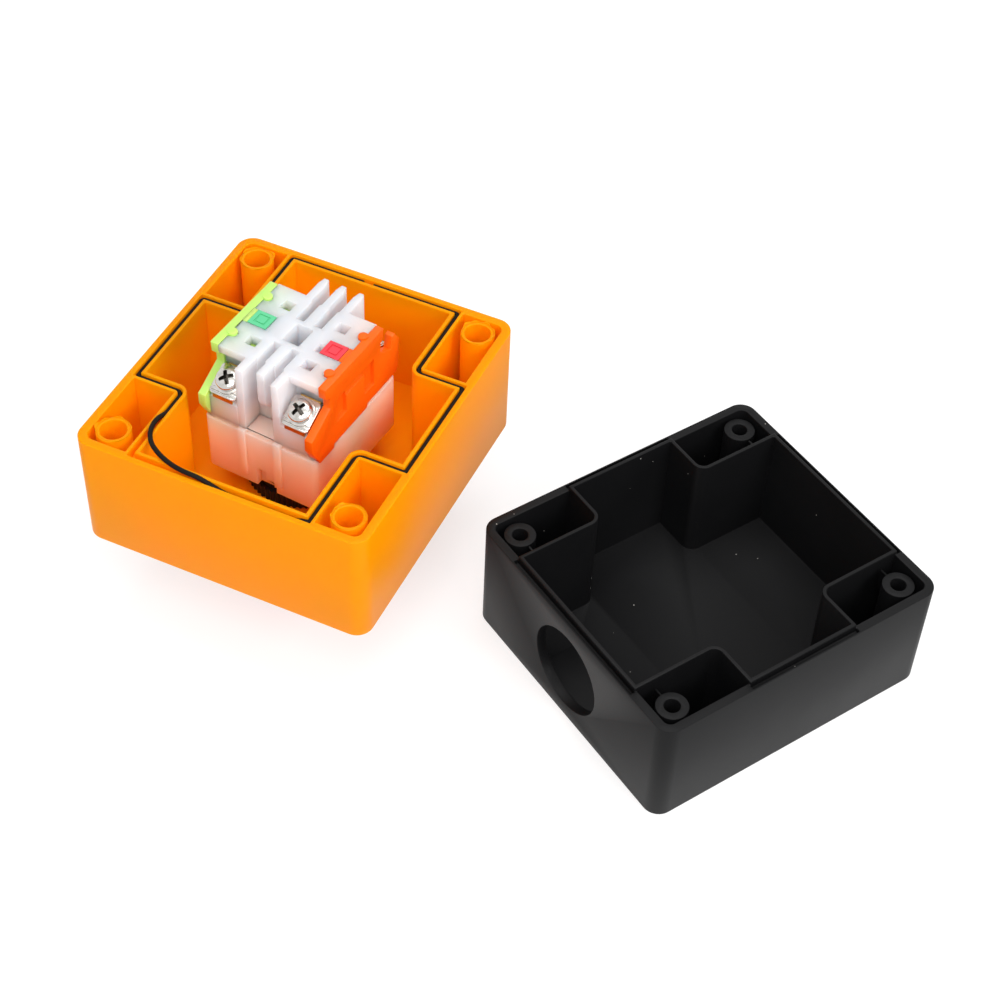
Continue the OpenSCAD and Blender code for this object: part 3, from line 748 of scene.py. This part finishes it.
def swept_cord_tree() -> NodeTree:
    """Makes the tree that sweeps a round cord along a route.

    Returns:
        The tree, with inputs Radius and Sides.
    """
    tree = NodeTree("swept_cord", [("Radius", "NodeSocketFloat"), ("Sides", "NodeSocketInt")])
    route = tree.add("GeometryNodeMeshToCurve", {"Mesh": tree.given["Geometry"]})
    values = {"Resolution": tree.given["Sides"], "Radius": tree.given["Radius"]}
    ring = tree.add("GeometryNodeCurvePrimitiveCircle", values).outputs["Curve"]
    values = {"Curve": route.outputs["Curve"], "Profile Curve": ring, "Fill Caps": True}
    cord = tree.add("GeometryNodeCurveToMesh", values)
    smooth = tree.add("GeometryNodeSetShadeSmooth", {"Geometry": cord.outputs["Mesh"]})
    tree.close(smooth.outputs["Geometry"])
    return tree


def toothed_ring_tree() -> NodeTree:
    """Makes the tree that sets round-backed teeth about a point.

    Returns:
        The tree, with inputs Count, Ring radius, Tooth radius, Tooth height and Turn.
    """
    inputs = [
        ("Count", "NodeSocketInt"),
        ("Ring radius", "NodeSocketFloat"),
        ("Tooth radius", "NodeSocketFloat"),
        ("Tooth height", "NodeSocketFloat"),
        ("Turn", "NodeSocketVector"),
    ]
    tree = NodeTree("toothed_ring", inputs)
    values = {"Vertices": tree.given["Count"], "Radius": tree.given["Ring radius"]}
    circle = tree.add("GeometryNodeMeshCircle", values)
    values = {
        "Vertices": TOOTH_SIDES,
        "Radius": tree.given["Tooth radius"],
        "Depth": tree.given["Tooth height"],
    }
    tooth = tree.add("GeometryNodeMeshCylinder", values)
    values = {"Points": circle.outputs["Mesh"], "Instance": tooth.outputs["Mesh"]}
    ring = tree.add("GeometryNodeInstanceOnPoints", values)
    values = {"Geometry": ring.outputs["Instances"], "Rotation": tree.given["Turn"]}
    turned = tree.add("GeometryNodeTransform", values)
    values = {"Points": tree.given["Geometry"], "Instance": turned.outputs["Geometry"]}
    placed = tree.add("GeometryNodeInstanceOnPoints", values)
    tree.close(placed.outputs["Instances"])
    return tree


def screw_tree() -> NodeTree:
    """Makes the tree that sets a screw on its terminal.

    Returns:
        The tree, with inputs Screw, Turn and Second finish, which is the painted shade on the deep
        recess.
    """
    inputs = [
        ("Screw", "NodeSocketObject"),
        ("Turn", "NodeSocketVector"),
        ("Second finish", "NodeSocketMaterial"),
    ]
    tree = NodeTree("screw_on_terminal", inputs)
    screw = tree.add("GeometryNodeObjectInfo", {"Object": tree.given["Screw"], "As Instance": True})
    values = {
        "Points": tree.given["Geometry"],
        "Instance": screw.outputs["Geometry"],
        "Rotation": tree.given["Turn"],
    }
    placed = tree.add("GeometryNodeInstanceOnPoints", values)
    tree.close(placed.outputs["Instances"], RECESS_MARK)
    return tree


# Sub-assemblies


@dataclass
class Enclosure:
    """The two moulded halves of the box, with the flash that the moulds left on them.

    Attributes:
        edge: Width of the rounding on the moulded edges.
        post_x: Sideways distance of the screw posts from the middle.
        post_y: Lengthways distance of the screw posts from the middle.
        flash_r: Radius of the torn flash ring on a tube's mouth.
        flash_t: Thickness of that ring.
        flash_h: How far it stands up at most.
        flash_steps: Steps round the ring.
        flash_seed: Seed of the torn edges.
        tear: Power that makes the low places of the edge lower.
        lean_out: How far the highest places lean outwards, in thicknesses.
        lean_in: How far the lowest places lean inwards, in thicknesses.
        tip: Width of the edge, as a share of the thickness.
    """

    edge: float = 0.22 * MM
    post_x: float = 29.2 * MM
    post_y: float = 32.2 * MM
    flash_r: float = 3.95 * MM
    flash_t: float = 0.3 * MM
    flash_h: float = 0.55 * MM
    flash_steps: int = 34
    flash_seed: int = 11
    tear: float = 1.5
    lean_out: float = 3.0
    lean_in: float = 0.9
    tip: float = 0.6

    def build(self) -> None:
        """Builds both halves."""
        orange = COVER_ORANGE.make()
        rounded_piece("base_box", Body.BASE, "base_plastic", BASE_BLACK.make(), self.edge)
        rounded_piece("cover_shell", Body.COVER, "cover_plastic", orange, self.edge)
        self.build_flash(orange)

    def build_flash(self, orange: Material) -> None:
        """Makes the torn rings of flash on the mouths of the four cover tubes.

        Args:
            orange: Material of the cover.
        """
        mesh = bmesh.new()
        chance = random.Random(self.flash_seed)
        for sx in (-1, 1):
            for sy in (-1, 1):
                mouth = Vector((sx * self.post_x, sy * self.post_y, COVER.half_h))
                self.add_flash(mesh, mouth, chance)
        mesh.transform(COVER.matrix())
        piece = to_object(mesh, "tube_mouth_flash", smooth_angle=60.0)
        dress(piece, orange)
        mount(piece, Body.COVER, "cover_plastic")

    def add_flash(self, mesh: Mesh, middle: Vector, chance: random.Random) -> None:
        """Adds one torn ring.

        Args:
            mesh: Mesh that takes it.
            middle: Middle of the tube's mouth, in the cover's frame.
            chance: Source of the torn edge.
        """
        rings = []
        rough = [chance.random() for _ in range(self.flash_steps)]
        wobble = [
            (rough[i - 2] + 2 * rough[i - 1] + rough[i]) / 4 for i in range(self.flash_steps)
        ]
        for step in range(self.flash_steps):
            angle = 2 * math.pi * step / self.flash_steps
            out = Vector((math.cos(angle), math.sin(angle), 0))
            rise = Vector((0, 0, self.flash_h * wobble[step] ** self.tear))
            sink = Vector((0, 0, self.edge))
            lean = self.flash_t * (self.lean_out * wobble[step] ** 2 - self.lean_in)
            corners = (
                out * (self.flash_r - self.flash_t) - sink,
                out * self.flash_r - sink,
                out * (self.flash_r + lean) + rise,
                out * (self.flash_r - self.tip * self.flash_t + lean) + rise,
            )
            rings.append([mesh.verts.new(middle + corner) for corner in corners])
        for step, ring in enumerate(rings):
            after = rings[(step + 1) % self.flash_steps]
            for i, corner in enumerate(ring):
                k = (i + 1) % len(ring)
                mesh.faces.new((corner, after[i], after[k], ring[k]))
        bmesh.ops.recalc_face_normals(mesh, faces=mesh.faces)


@dataclass
class Seal:
    """Rubber cord in the cover's groove, sprung out at one pocket, and the flat gasket.

    Attributes:
        cord_r: Radius of the cord.
        out_x: Sideways distance of the long grooves from the middle.
        out_y: Lengthways distance of the short grooves from the middle.
        in_x: Sideways distance of the pocket walls' grooves.
        in_y: Lengthways distance of the pocket walls' grooves.
        lie: Height of the cord's middle in the groove.
        low: Height of its middle where it lies deepest.
        high: Height of its middle where it lies on the rim.
        bend: Bend radius at the groove's outer corners.
        pocket_bend: Bend radius round the pockets.
        bow_r: Radius of the tight part of the bow.
        wide_r: Radius of its wide part.
        reach: How far from the end wall the bow leaves the groove.
        gap: Width of the gap between the cord's ends.
        gap_x: Place of the gap.
        sink: Length over which the cord sinks or rises.
        low_from: Where the deep stretch starts.
        low_to: Where it ends.
        rise: Length over which the cord rises from there into the groove.
        step: Distance between the bow's points, and half of that on straight stretches.
        bend_steps: Steps round a bend.
        sides: Faces round the cord.
    """

    cord_r: float = 0.56 * MM
    out_x: float = 33.9 * MM
    out_y: float = 36.9 * MM
    in_x: float = 22 * MM
    in_y: float = 14.65 * MM
    lie: float = 29.6 * MM
    low: float = 28.8 * MM
    high: float = 31.2 * MM
    bend: float = 0.7 * MM
    pocket_bend: float = 1.6 * MM
    bow_r: float = 9 * MM
    wide_r: float = 20 * MM
    reach: float = 10.9 * MM
    gap: float = 2.7 * MM
    gap_x: float = -1.65 * MM
    sink: float = 5 * MM
    low_from: float = 3.5 * MM
    low_to: float = 18.6 * MM
    rise: float = 2.25 * MM
    step: float = 0.5 * MM
    bend_steps: int = 6
    sides: int = 14

    def build(self) -> None:
        """Builds the cord and dresses the gasket."""
        rubber = SEAL_RUBBER.make()
        move = COVER.matrix()
        route = new_object("seal_route", point_mesh([move @ p for p in self.route()]))
        tree = swept_cord_tree()
        cord = tree.grow(route, "seal_cord", rubber, radius=self.cord_r, sides=self.sides)
        mount(cord, Body.COVER, "seal_rubber", "cover_seal")
        keep_node("panel_gasket", rubber)

    def route(self) -> list[Vector]:
        """Works out the middle line of the cord.

        Returns:
            Its points from one end to the other, in the cover's frame.
        """
        tight = Vector((-self.in_x + self.bow_r, -self.out_y + self.reach))
        turn = math.asin((self.wide_r - self.reach) / (self.wide_r - self.bow_r))
        wide_x = tight.x + (self.wide_r - self.bow_r) * math.cos(turn)
        wide = Vector((wide_x, -self.out_y + self.wide_r))
        corners = [
            (self.gap_x + self.gap / 2, self.out_y, 0.0),
            (self.in_x, self.out_y, self.bend),
            (self.in_x, self.in_y, self.pocket_bend),
            (self.out_x, self.in_y, self.bend),
            (self.out_x, -self.in_y, self.bend),
            (self.in_x, -self.in_y, self.pocket_bend),
            (self.in_x, -self.out_y, self.bend),
            (wide.x, -self.out_y, 0.0),
        ]
        first = self.rounded(corners)
        bow = self.arc(wide, self.wide_r, 1.5 * math.pi, math.pi + turn)
        bow += self.arc(tight, self.bow_r, math.pi + turn, math.pi)
        corners = [
            (-self.in_x, tight.y, 0.0),
            (-self.in_x, -self.in_y, self.pocket_bend),
            (-self.out_x, -self.in_y, self.bend),
            (-self.out_x, self.in_y, self.bend),
            (-self.in_x, self.in_y, self.pocket_bend),
            (-self.in_x, self.out_y, self.bend),
            (self.gap_x - self.gap / 2, self.out_y, 0.0),
        ]
        last = self.rounded(corners)
        flat = self.spread(first + bow[1:-1] + last)
        ends = (len(self.spread(first)), len(self.spread(last)))
        meets = (wide.x, tight.y)
        return [
            Vector((p.x, p.y, self.height(p, i, len(flat), ends, meets)))
            for i, p in enumerate(flat)
        ]

    def rounded(self, corners: Sequence[tuple[float, float, float]]) -> list[Vector]:
        """Rounds the corners of a square-cornered route.

        Args:
            corners: Place and bend radius of each corner in order.

        Returns:
            The points of the rounded route.
        """
        points = [Vector(corners[0][:2])]
        for before, here, after in zip(corners, corners[1:], corners[2:]):
            corner, radius = Vector(here[:2]), here[2]
            back = (Vector(before[:2]) - corner).normalized()
            on = (Vector(after[:2]) - corner).normalized()
            middle = corner + (back + on) * radius
            for k in range(self.bend_steps + 1):
                part = math.pi / 2 * k / self.bend_steps
                turned = on * radius * math.cos(part) + back * radius * math.sin(part)
                points.append(middle - turned)
        points.append(Vector(corners[-1][:2]))
        return points

    def arc(self, middle: Vector, radius: float, start: float, end: float) -> list[Vector]:
        """Gives points on an arc.

        Args:
            middle: Middle of the arc.
            radius: Its radius.
            start: First angle.
            end: Last angle.

        Returns:
            The points from start to end.
        """
        count = round(abs(end - start) * radius / self.step)
        angles = (start + (end - start) * i / count for i in range(count + 1))
        return [middle + Vector((math.cos(a), math.sin(a))) * radius for a in angles]

    def spread(self, points: Sequence[Vector]) -> list[Vector]:
        """Adds points along the long straight stretches of a route.

        Args:
            points: Points of the route.

        Returns:
            The same route with no long step.
        """
        result = [points[0]]
        for start, end in zip(points, points[1:]):
            count = max(1, math.ceil((end - start).length / (2 * self.step)))
            result += [start.lerp(end, (i + 1) / count) for i in range(count)]
        return result

    def height(
        self,
        point: Vector,
        index: int,
        total: int,
        ends: tuple[int, int],
        meets: tuple[float, float],
    ) -> float:
        """Gives the height of the cord's middle at a point.

        Args:
            point: The point, in the cover's frame.
            index: Its place in the route.
            total: Number of points in the route.
            ends: Number of points before and after the bow.
            meets: Where the bow meets the end wall's groove and the pocket's.

        Returns:
            The height over the cover's outer face.
        """
        wide_x, bow_y = meets
        if ends[0] <= index < total - ends[1]:
            return self.high
        if index >= total - ends[1]:
            near = point.x > -self.in_x - self.bend
            share = ease((point.y - bow_y) / self.sink) if near else 1.0
            return self.high + (self.lie - self.high) * share
        if point.y > -self.out_y + self.bend:
            return self.lie
        if point.x > self.low_to:
            share = ease((point.x - self.low_to) / self.rise)
            return self.low + (self.lie - self.low) * share
        share = ease((point.x - wide_x) / (self.low_from - wide_x))
        return self.high + (self.low - self.high) * share


@dataclass
class PushButton:
    """Mushroom head, stem, bezel, locking ring and return spring.

    Attributes:
        edge: Width of the edge rounding.
        teeth: Number of teeth on the locking ring.
        ring_r: Radius on which the teeth stand.
        tooth_r: Radius of a tooth's rounded back.
        tooth_h: Height of a tooth.
        panel_t: Thickness of the cover's panel, on which the ring lies.
    """

    edge: float = 0.2 * MM
    teeth: int = 60
    ring_r: float = 13.36 * MM
    tooth_r: float = 0.42 * MM
    tooth_h: float = 3.36 * MM
    panel_t: float = 2.6 * MM

    def build(self) -> None:
        """Builds the button from below the cover to the push plate."""
        black = OPERATOR_BLACK.make()
        rounded_piece("mushroom_head", Body.HEAD, "head_red", HEAD_RED.make(), self.edge)
        keep_node("button_stem", STEM_GREY.make())
        rounded_piece("bezel", Body.COVER, "operator_black", black, self.edge)
        keep_node("locking_ring", black)
        coiled_spring("return_spring", SPRING_STEEL.make())
        middle = COVER.middle() + Vector((0, 0, self.panel_t + self.tooth_h / 2))
        base = new_object("ring_middle", point_mesh([middle]))
        teeth = toothed_ring_tree().grow(
            base,
            "locking_ring_teeth",
            black,
            count=self.teeth,
            ring_radius=self.ring_r,
            tooth_radius=self.tooth_r,
            tooth_height=self.tooth_h,
            turn=(0.0, 0.0, math.radians(COVER.turn)),
        )
        mount(teeth, Body.COVER, "operator_black")


@dataclass
class ContactBlock:
    """White mount and body with their side plates, plungers and moving bridges."""

    edge: float = 0.14 * MM

    def build(self) -> None:
        """Builds the block from its mount up to the plungers."""
        white = NYLON_WHITE.make()
        green, orange = PLATE_GREEN.make(), PLATE_ORANGE.make()
        for node, slot, material in (
            ("mount_collar", "nylon_white", white),
            ("contact_body", "nylon_white", white),
            ("green_side_plate", "plate_green", green),
            ("orange_side_plate", "plate_orange", orange),
        ):
            rounded_piece(node, Body.COVER, slot, material, self.edge)
        keep_node("push_plate", white)
        keep_node("green_plunger", PLUNGER_GREEN.make())
        keep_node("red_plunger", PLUNGER_RED.make())
        brass = BRASS.make()
        for node in ("bridge_no", "bridge_nc", "fixed_contacts_no", "fixed_contacts_nc"):
            keep_node(node, brass)
        steel = SPRING_STEEL.make()
        for module in Module:
            coiled_spring(f"spring_{module.value}", steel)


@dataclass
class Terminals:
    """The four screw terminals, with cross-recessed screws.

    Attributes:
        edge: Width of the rounding on the clamps.
        head_r: Radius of the screw head.
        seat: Height of the head's underside over the contact strip.
        side_h: Height of the head's straight side.
        crown_h: Height of its domed crown.
        shank_r: Radius of the shank.
        shank_l: How far the shank reaches below the strip.
        recess_r: Half length of the cross recess.
        recess_w: Width of its slots.
        recess_d: Depth in its middle.
        recess_shade: Depth below which the recess takes the painted shade.
        recess_end: How steeply its floor rises at the ends of the slots.
        recess_wall: Width of a slot's leaning wall, as a share of its width.
        rings: Rings of points on the head.
        spokes: Points on each ring.
        rest_turns: How far each screw was turned when it was driven, in degrees.
    """

    edge: float = 0.07 * MM
    head_r: float = 2.8 * MM
    seat: float = 1.39 * MM
    side_h: float = 1 * MM
    crown_h: float = 1 * MM
    shank_r: float = 1.6 * MM
    shank_l: float = 4 * MM
    recess_r: float = 1.75 * MM
    recess_w: float = 0.62 * MM
    recess_d: float = 1.3 * MM
    recess_shade: float = 0.3 * MM
    recess_end: float = 3.0
    recess_wall: float = 0.2
    rings: int = 30
    spokes: int = 96
    rest_turns: tuple[float, ...] = (38.0, 11.0, 63.0, 27.0)

    def build(self) -> None:
        """Builds each clamp and its screw."""
        nickel = NICKEL.make()
        # Painted shade for the deep faces of the screws' recesses
        painted_recess_shade = RECESS_PAINTED_SHADE.make()
        master = self.make_screw()
        tree = screw_tree()
        turns = iter(self.rest_turns)
        for module in Module:
            for end in End:
                name = f"{module.value}_{end.value}"
                clamp = f"clamp_{name}"
                rounded_piece(clamp, clamp, "terminal_nickel", nickel, self.edge)
                joint = find_joint(f"screw_turn_{name}")
                upright = Vector(joint["axis"]).to_track_quat("Z", "Y").to_matrix()
                stand = upright @ Matrix.Rotation(math.radians(next(turns)), 3, "Z")
                base = new_object("terminal_middle", point_mesh([Vector(joint["pos_m"])]))
                turn = tuple(stand.to_euler())
                piece = f"screw_{name}_crossed"
                screw = tree.grow(base, piece, nickel, screw=master, turn=turn, second_finish=painted_recess_shade)
                mount(screw, f"screw_{name}", "terminal_nickel", f"screw_{name}")
        bpy.data.objects.remove(master)

    def make_screw(self) -> Piece:
        """Makes one screw about the Z axis, with zero height on the contact strip.

        Returns:
            The screw, with the faces of its recess marked.
        """
        mesh = bmesh.new()
        top = self.seat + self.side_h + self.crown_h
        pole = mesh.verts.new((0, 0, top - self.sunk(0, 0)))
        angles = [math.pi / 2 * (k + 1) / self.rings for k in range(self.rings)]
        rows = [self.ring(mesh, self.head_r * math.sin(angle)) for angle in angles]
        wide, thin = self.head_r, self.shank_r
        lower = ((wide, self.seat), (thin, self.seat), (thin, -self.shank_l))
        rows += [self.flat_ring(mesh, radius, height) for radius, height in lower]
        for i in range(self.spokes):
            after = (i + 1) % self.spokes
            mesh.faces.new((pole, rows[0][i], rows[0][after]))
            for upper, under in zip(rows, rows[1:]):
                mesh.faces.new((upper[i], under[i], under[after], upper[after]))
        mesh.faces.new(rows[-1][::-1])
        bmesh.ops.recalc_face_normals(mesh, faces=mesh.faces)
        # Faces deep in the recess are marked to take the painted shade
        mark = mesh.faces.layers.bool.new(RECESS_MARK)
        for face in mesh.faces:
            middle = face.calc_center_median()
            deep = self.sunk(middle.x, middle.y) > self.recess_shade
            face[mark] = middle.z > self.seat and deep
        return to_object(mesh, "screw_pattern", smooth_angle=40.0)

    def ring(self, mesh: Mesh, radius: float) -> list[bmesh.types.BMVert]:
        """Adds a ring of points on the crown.

        Args:
            mesh: Mesh that takes them.
            radius: Radius of the ring.

        Returns:
            The points in order.
        """
        crown = self.crown_h * math.sqrt(max(0.0, 1 - (radius / self.head_r) ** 2))
        height = self.seat + self.side_h + crown
        points = []
        for i in range(self.spokes):
            angle = 2 * math.pi * i / self.spokes
            x, y = radius * math.cos(angle), radius * math.sin(angle)
            points.append(mesh.verts.new((x, y, height - self.sunk(x, y))))
        return points

    def flat_ring(self, mesh: Mesh, radius: float, height: float) -> list[bmesh.types.BMVert]:
        """Adds a level ring of points.

        Args:
            mesh: Mesh that takes them.
            radius: Radius of the ring.
            height: Its height.

        Returns:
            The points in order.
        """
        angles = (2 * math.pi * i / self.spokes for i in range(self.spokes))
        places = ((radius * math.cos(a), radius * math.sin(a), height) for a in angles)
        return [mesh.verts.new(place) for place in places]

    def sunk(self, x: float, y: float) -> float:
        """Gives the depth of the cross recess at a point of the crown.

        Args:
            x: Sideways place on the head.
            y: Lengthways place on the head.

        Returns:
            Depth below the crown.
        """
        deepest = 0.0
        for along, across in ((abs(x), abs(y)), (abs(y), abs(x))):
            inside = max(0.0, 1 - along / self.recess_r)
            floor = self.recess_d * min(1.0, self.recess_end * inside)
            wall = ease((across - self.recess_w / 2) / (self.recess_wall * self.recess_w))
            deepest = max(deepest, floor * (1 - wall))
        return deepest


@dataclass
class Studio:
    """Camera, floor, lamps and background.

    Attributes:
        place: Where the camera stands.
        azimuth: Turn of the view from +Y, in degrees, towards -X.
        elevation: How far the camera looks down, in degrees.
        roll: Turn of the camera about its view, in degrees.
        lens: Focal length in millimetres.
        sensor: Width of the sensor in millimetres.
        near: Nearest distance that the camera shows.
        white: Brightness of the background to the camera.
        ambient: Brightness of the surround as a light.
        floor_glow: Share of the floor's whiteness to the camera that no shadow darkens.
        floor_pale: Share of it that a shadow does darken.
        floor_card: Lightness of the floor as a bounce card.
        floor_half: Half the side of the floor.
        floor_gap: How far the floor lies below the object.
        aim: Point that every lamp faces.
        lamps: Name, place, size and power of each softbox.
    """

    place: tuple[float, float, float] = (0.23059, -0.22526, 0.38924)
    azimuth: float = 54.27
    elevation: float = 47.10
    roll: float = 2.706
    lens: float = 75.53
    sensor: float = 36.0
    near: float = 0.01
    white: float = 1.0
    ambient: float = 0.55
    floor_glow: float = 0.64
    floor_pale: float = 0.44
    floor_card: float = 0.8
    floor_half: float = 3.0
    floor_gap: float = 0.05 * MM
    aim: tuple[float, float, float] = (-0.04, -0.03, 0.03)
    lamps: Sequence[tuple[str, tuple[float, float, float], float, float]] = (
        ("key_softbox", (0.72, 0.12, 0.56), 0.4, 3.8),
        ("front_softbox", (0.34, -0.42, 0.72), 0.5, 2.9),
        ("top_softbox", (-0.10, 0.10, 0.95), 0.6, 2.4),
    )

    def build(self) -> None:
        """Sets up everything round the object."""
        self.set_camera()
        self.set_floor()
        self.set_world()
        for name, place, size, power in self.lamps:
            self.add_lamp(name, place, size, power)

    def set_camera(self) -> None:
        """Stands the camera where the photograph was taken from."""
        turn, tilt, roll = (math.radians(a) for a in (self.azimuth, self.elevation, self.roll))
        level = math.cos(tilt)
        ahead = Vector((-math.sin(turn) * level, math.cos(turn) * level, -math.sin(tilt)))
        right = Vector((math.cos(turn), math.sin(turn), 0))
        down = ahead.cross(right)
        side = right * math.cos(roll) - down * math.sin(roll)
        drop = right * math.sin(roll) + down * math.cos(roll)
        camera = bpy.data.objects.new("camera", bpy.data.cameras.new("camera"))
        camera.data.lens = self.lens
        camera.data.sensor_width = self.sensor
        camera.data.clip_start = self.near
        pose = Matrix((side, -drop, -ahead)).transposed().to_4x4()
        pose.translation = Vector(self.place)
        camera.matrix_world = pose
        bpy.context.scene.collection.objects.link(camera)
        bpy.context.scene.camera = camera

    def set_floor(self) -> None:
        """Lays a plain pale floor that looks white and keeps a soft shadow."""
        mesh = bmesh.new()
        bmesh.ops.create_grid(mesh, x_segments=2, y_segments=2, size=self.floor_half)
        floor = to_object(mesh, "floor")
        floor.location.z = -self.floor_gap
        material, tree = new_material("floor_pale_card")
        card, pale = (
            add_node(tree, "ShaderNodeBsdfDiffuse", {"Color": (light, light, light, 1)})
            for light in (self.floor_card, self.floor_pale)
        )
        values = {"Color": (1, 1, 1, 1), "Strength": self.floor_glow}
        glow = add_node(tree, "ShaderNodeEmission", values)
        shown = add_node(tree, "ShaderNodeAddShader", {0: pale.outputs[0], 1: glow.outputs[0]})
        self.show(tree, card, shown, "ShaderNodeOutputMaterial")
        dress(floor, material)

    def show(self, tree: Tree, lit: Node, shown: Node, output: str) -> None:
        """Ends a tree with one look for the background on view and another for its light.

        The background on view is what rays meet straight, in a gloss or through a clear piece.

        Args:
            tree: Tree to end.
            lit: What lights the object.
            shown: What is on view.
            output: Blender's name of the output's type.
        """
        path = add_node(tree, "ShaderNodeLightPath").outputs
        seen = path["Is Camera Ray"]
        for ray in ("Is Transmission Ray", "Is Glossy Ray"):
            values = {0: seen, 1: path[ray]}
            seen = add_node(tree, "ShaderNodeMath", values, operation="MAXIMUM").outputs[0]
        values = {0: seen, 1: lit.outputs[0], 2: shown.outputs[0]}
        both = add_node(tree, "ShaderNodeMixShader", values)
        add_node(tree, output, {"Surface": both.outputs[0]})

    def set_world(self) -> None:
        """Sets an even pale surround that looks white to the camera and in reflections."""
        world = bpy.data.worlds.new("surround")
        world.use_nodes = True
        tree = world.node_tree
        tree.nodes.clear()
        soft, bright = (
            add_node(tree, "ShaderNodeBackground", {"Color": (1, 1, 1, 1), "Strength": strength})
            for strength in (self.ambient, self.white)
        )
        self.show(tree, soft, bright, "ShaderNodeOutputWorld")
        bpy.context.scene.world = world

    def add_lamp(
        self, name: str, place: tuple[float, float, float], size: float, power: float
    ) -> None:
        """Hangs one square softbox that faces the middle of the object.

        Args:
            name: Name of the lamp.
            place: Where it hangs.
            size: Side of the square in metres.
            power: Its power in watts.
        """
        lamp = bpy.data.objects.new(name, bpy.data.lights.new(name, "AREA"))
        lamp.data.size = size
        lamp.data.energy = power
        lamp.location = place
        ahead = Vector(self.aim) - Vector(place)
        lamp.rotation_euler = ahead.to_track_quat("-Z", "Y").to_euler()
        bpy.context.scene.collection.objects.link(lamp)


def set_look() -> None:
    """Keeps colours as they are written."""
    bpy.context.scene.view_settings.view_transform = "Standard"


def main() -> None:
    """Builds every sub-assembly in order."""
    set_look()
    parts = (Enclosure(), Seal(), PushButton(), ContactBlock(), Terminals(), Studio())
    for part in parts:
        part.build()
        log.info("built %s", type(part).__name__)


if __name__ == "__main__":
    main()
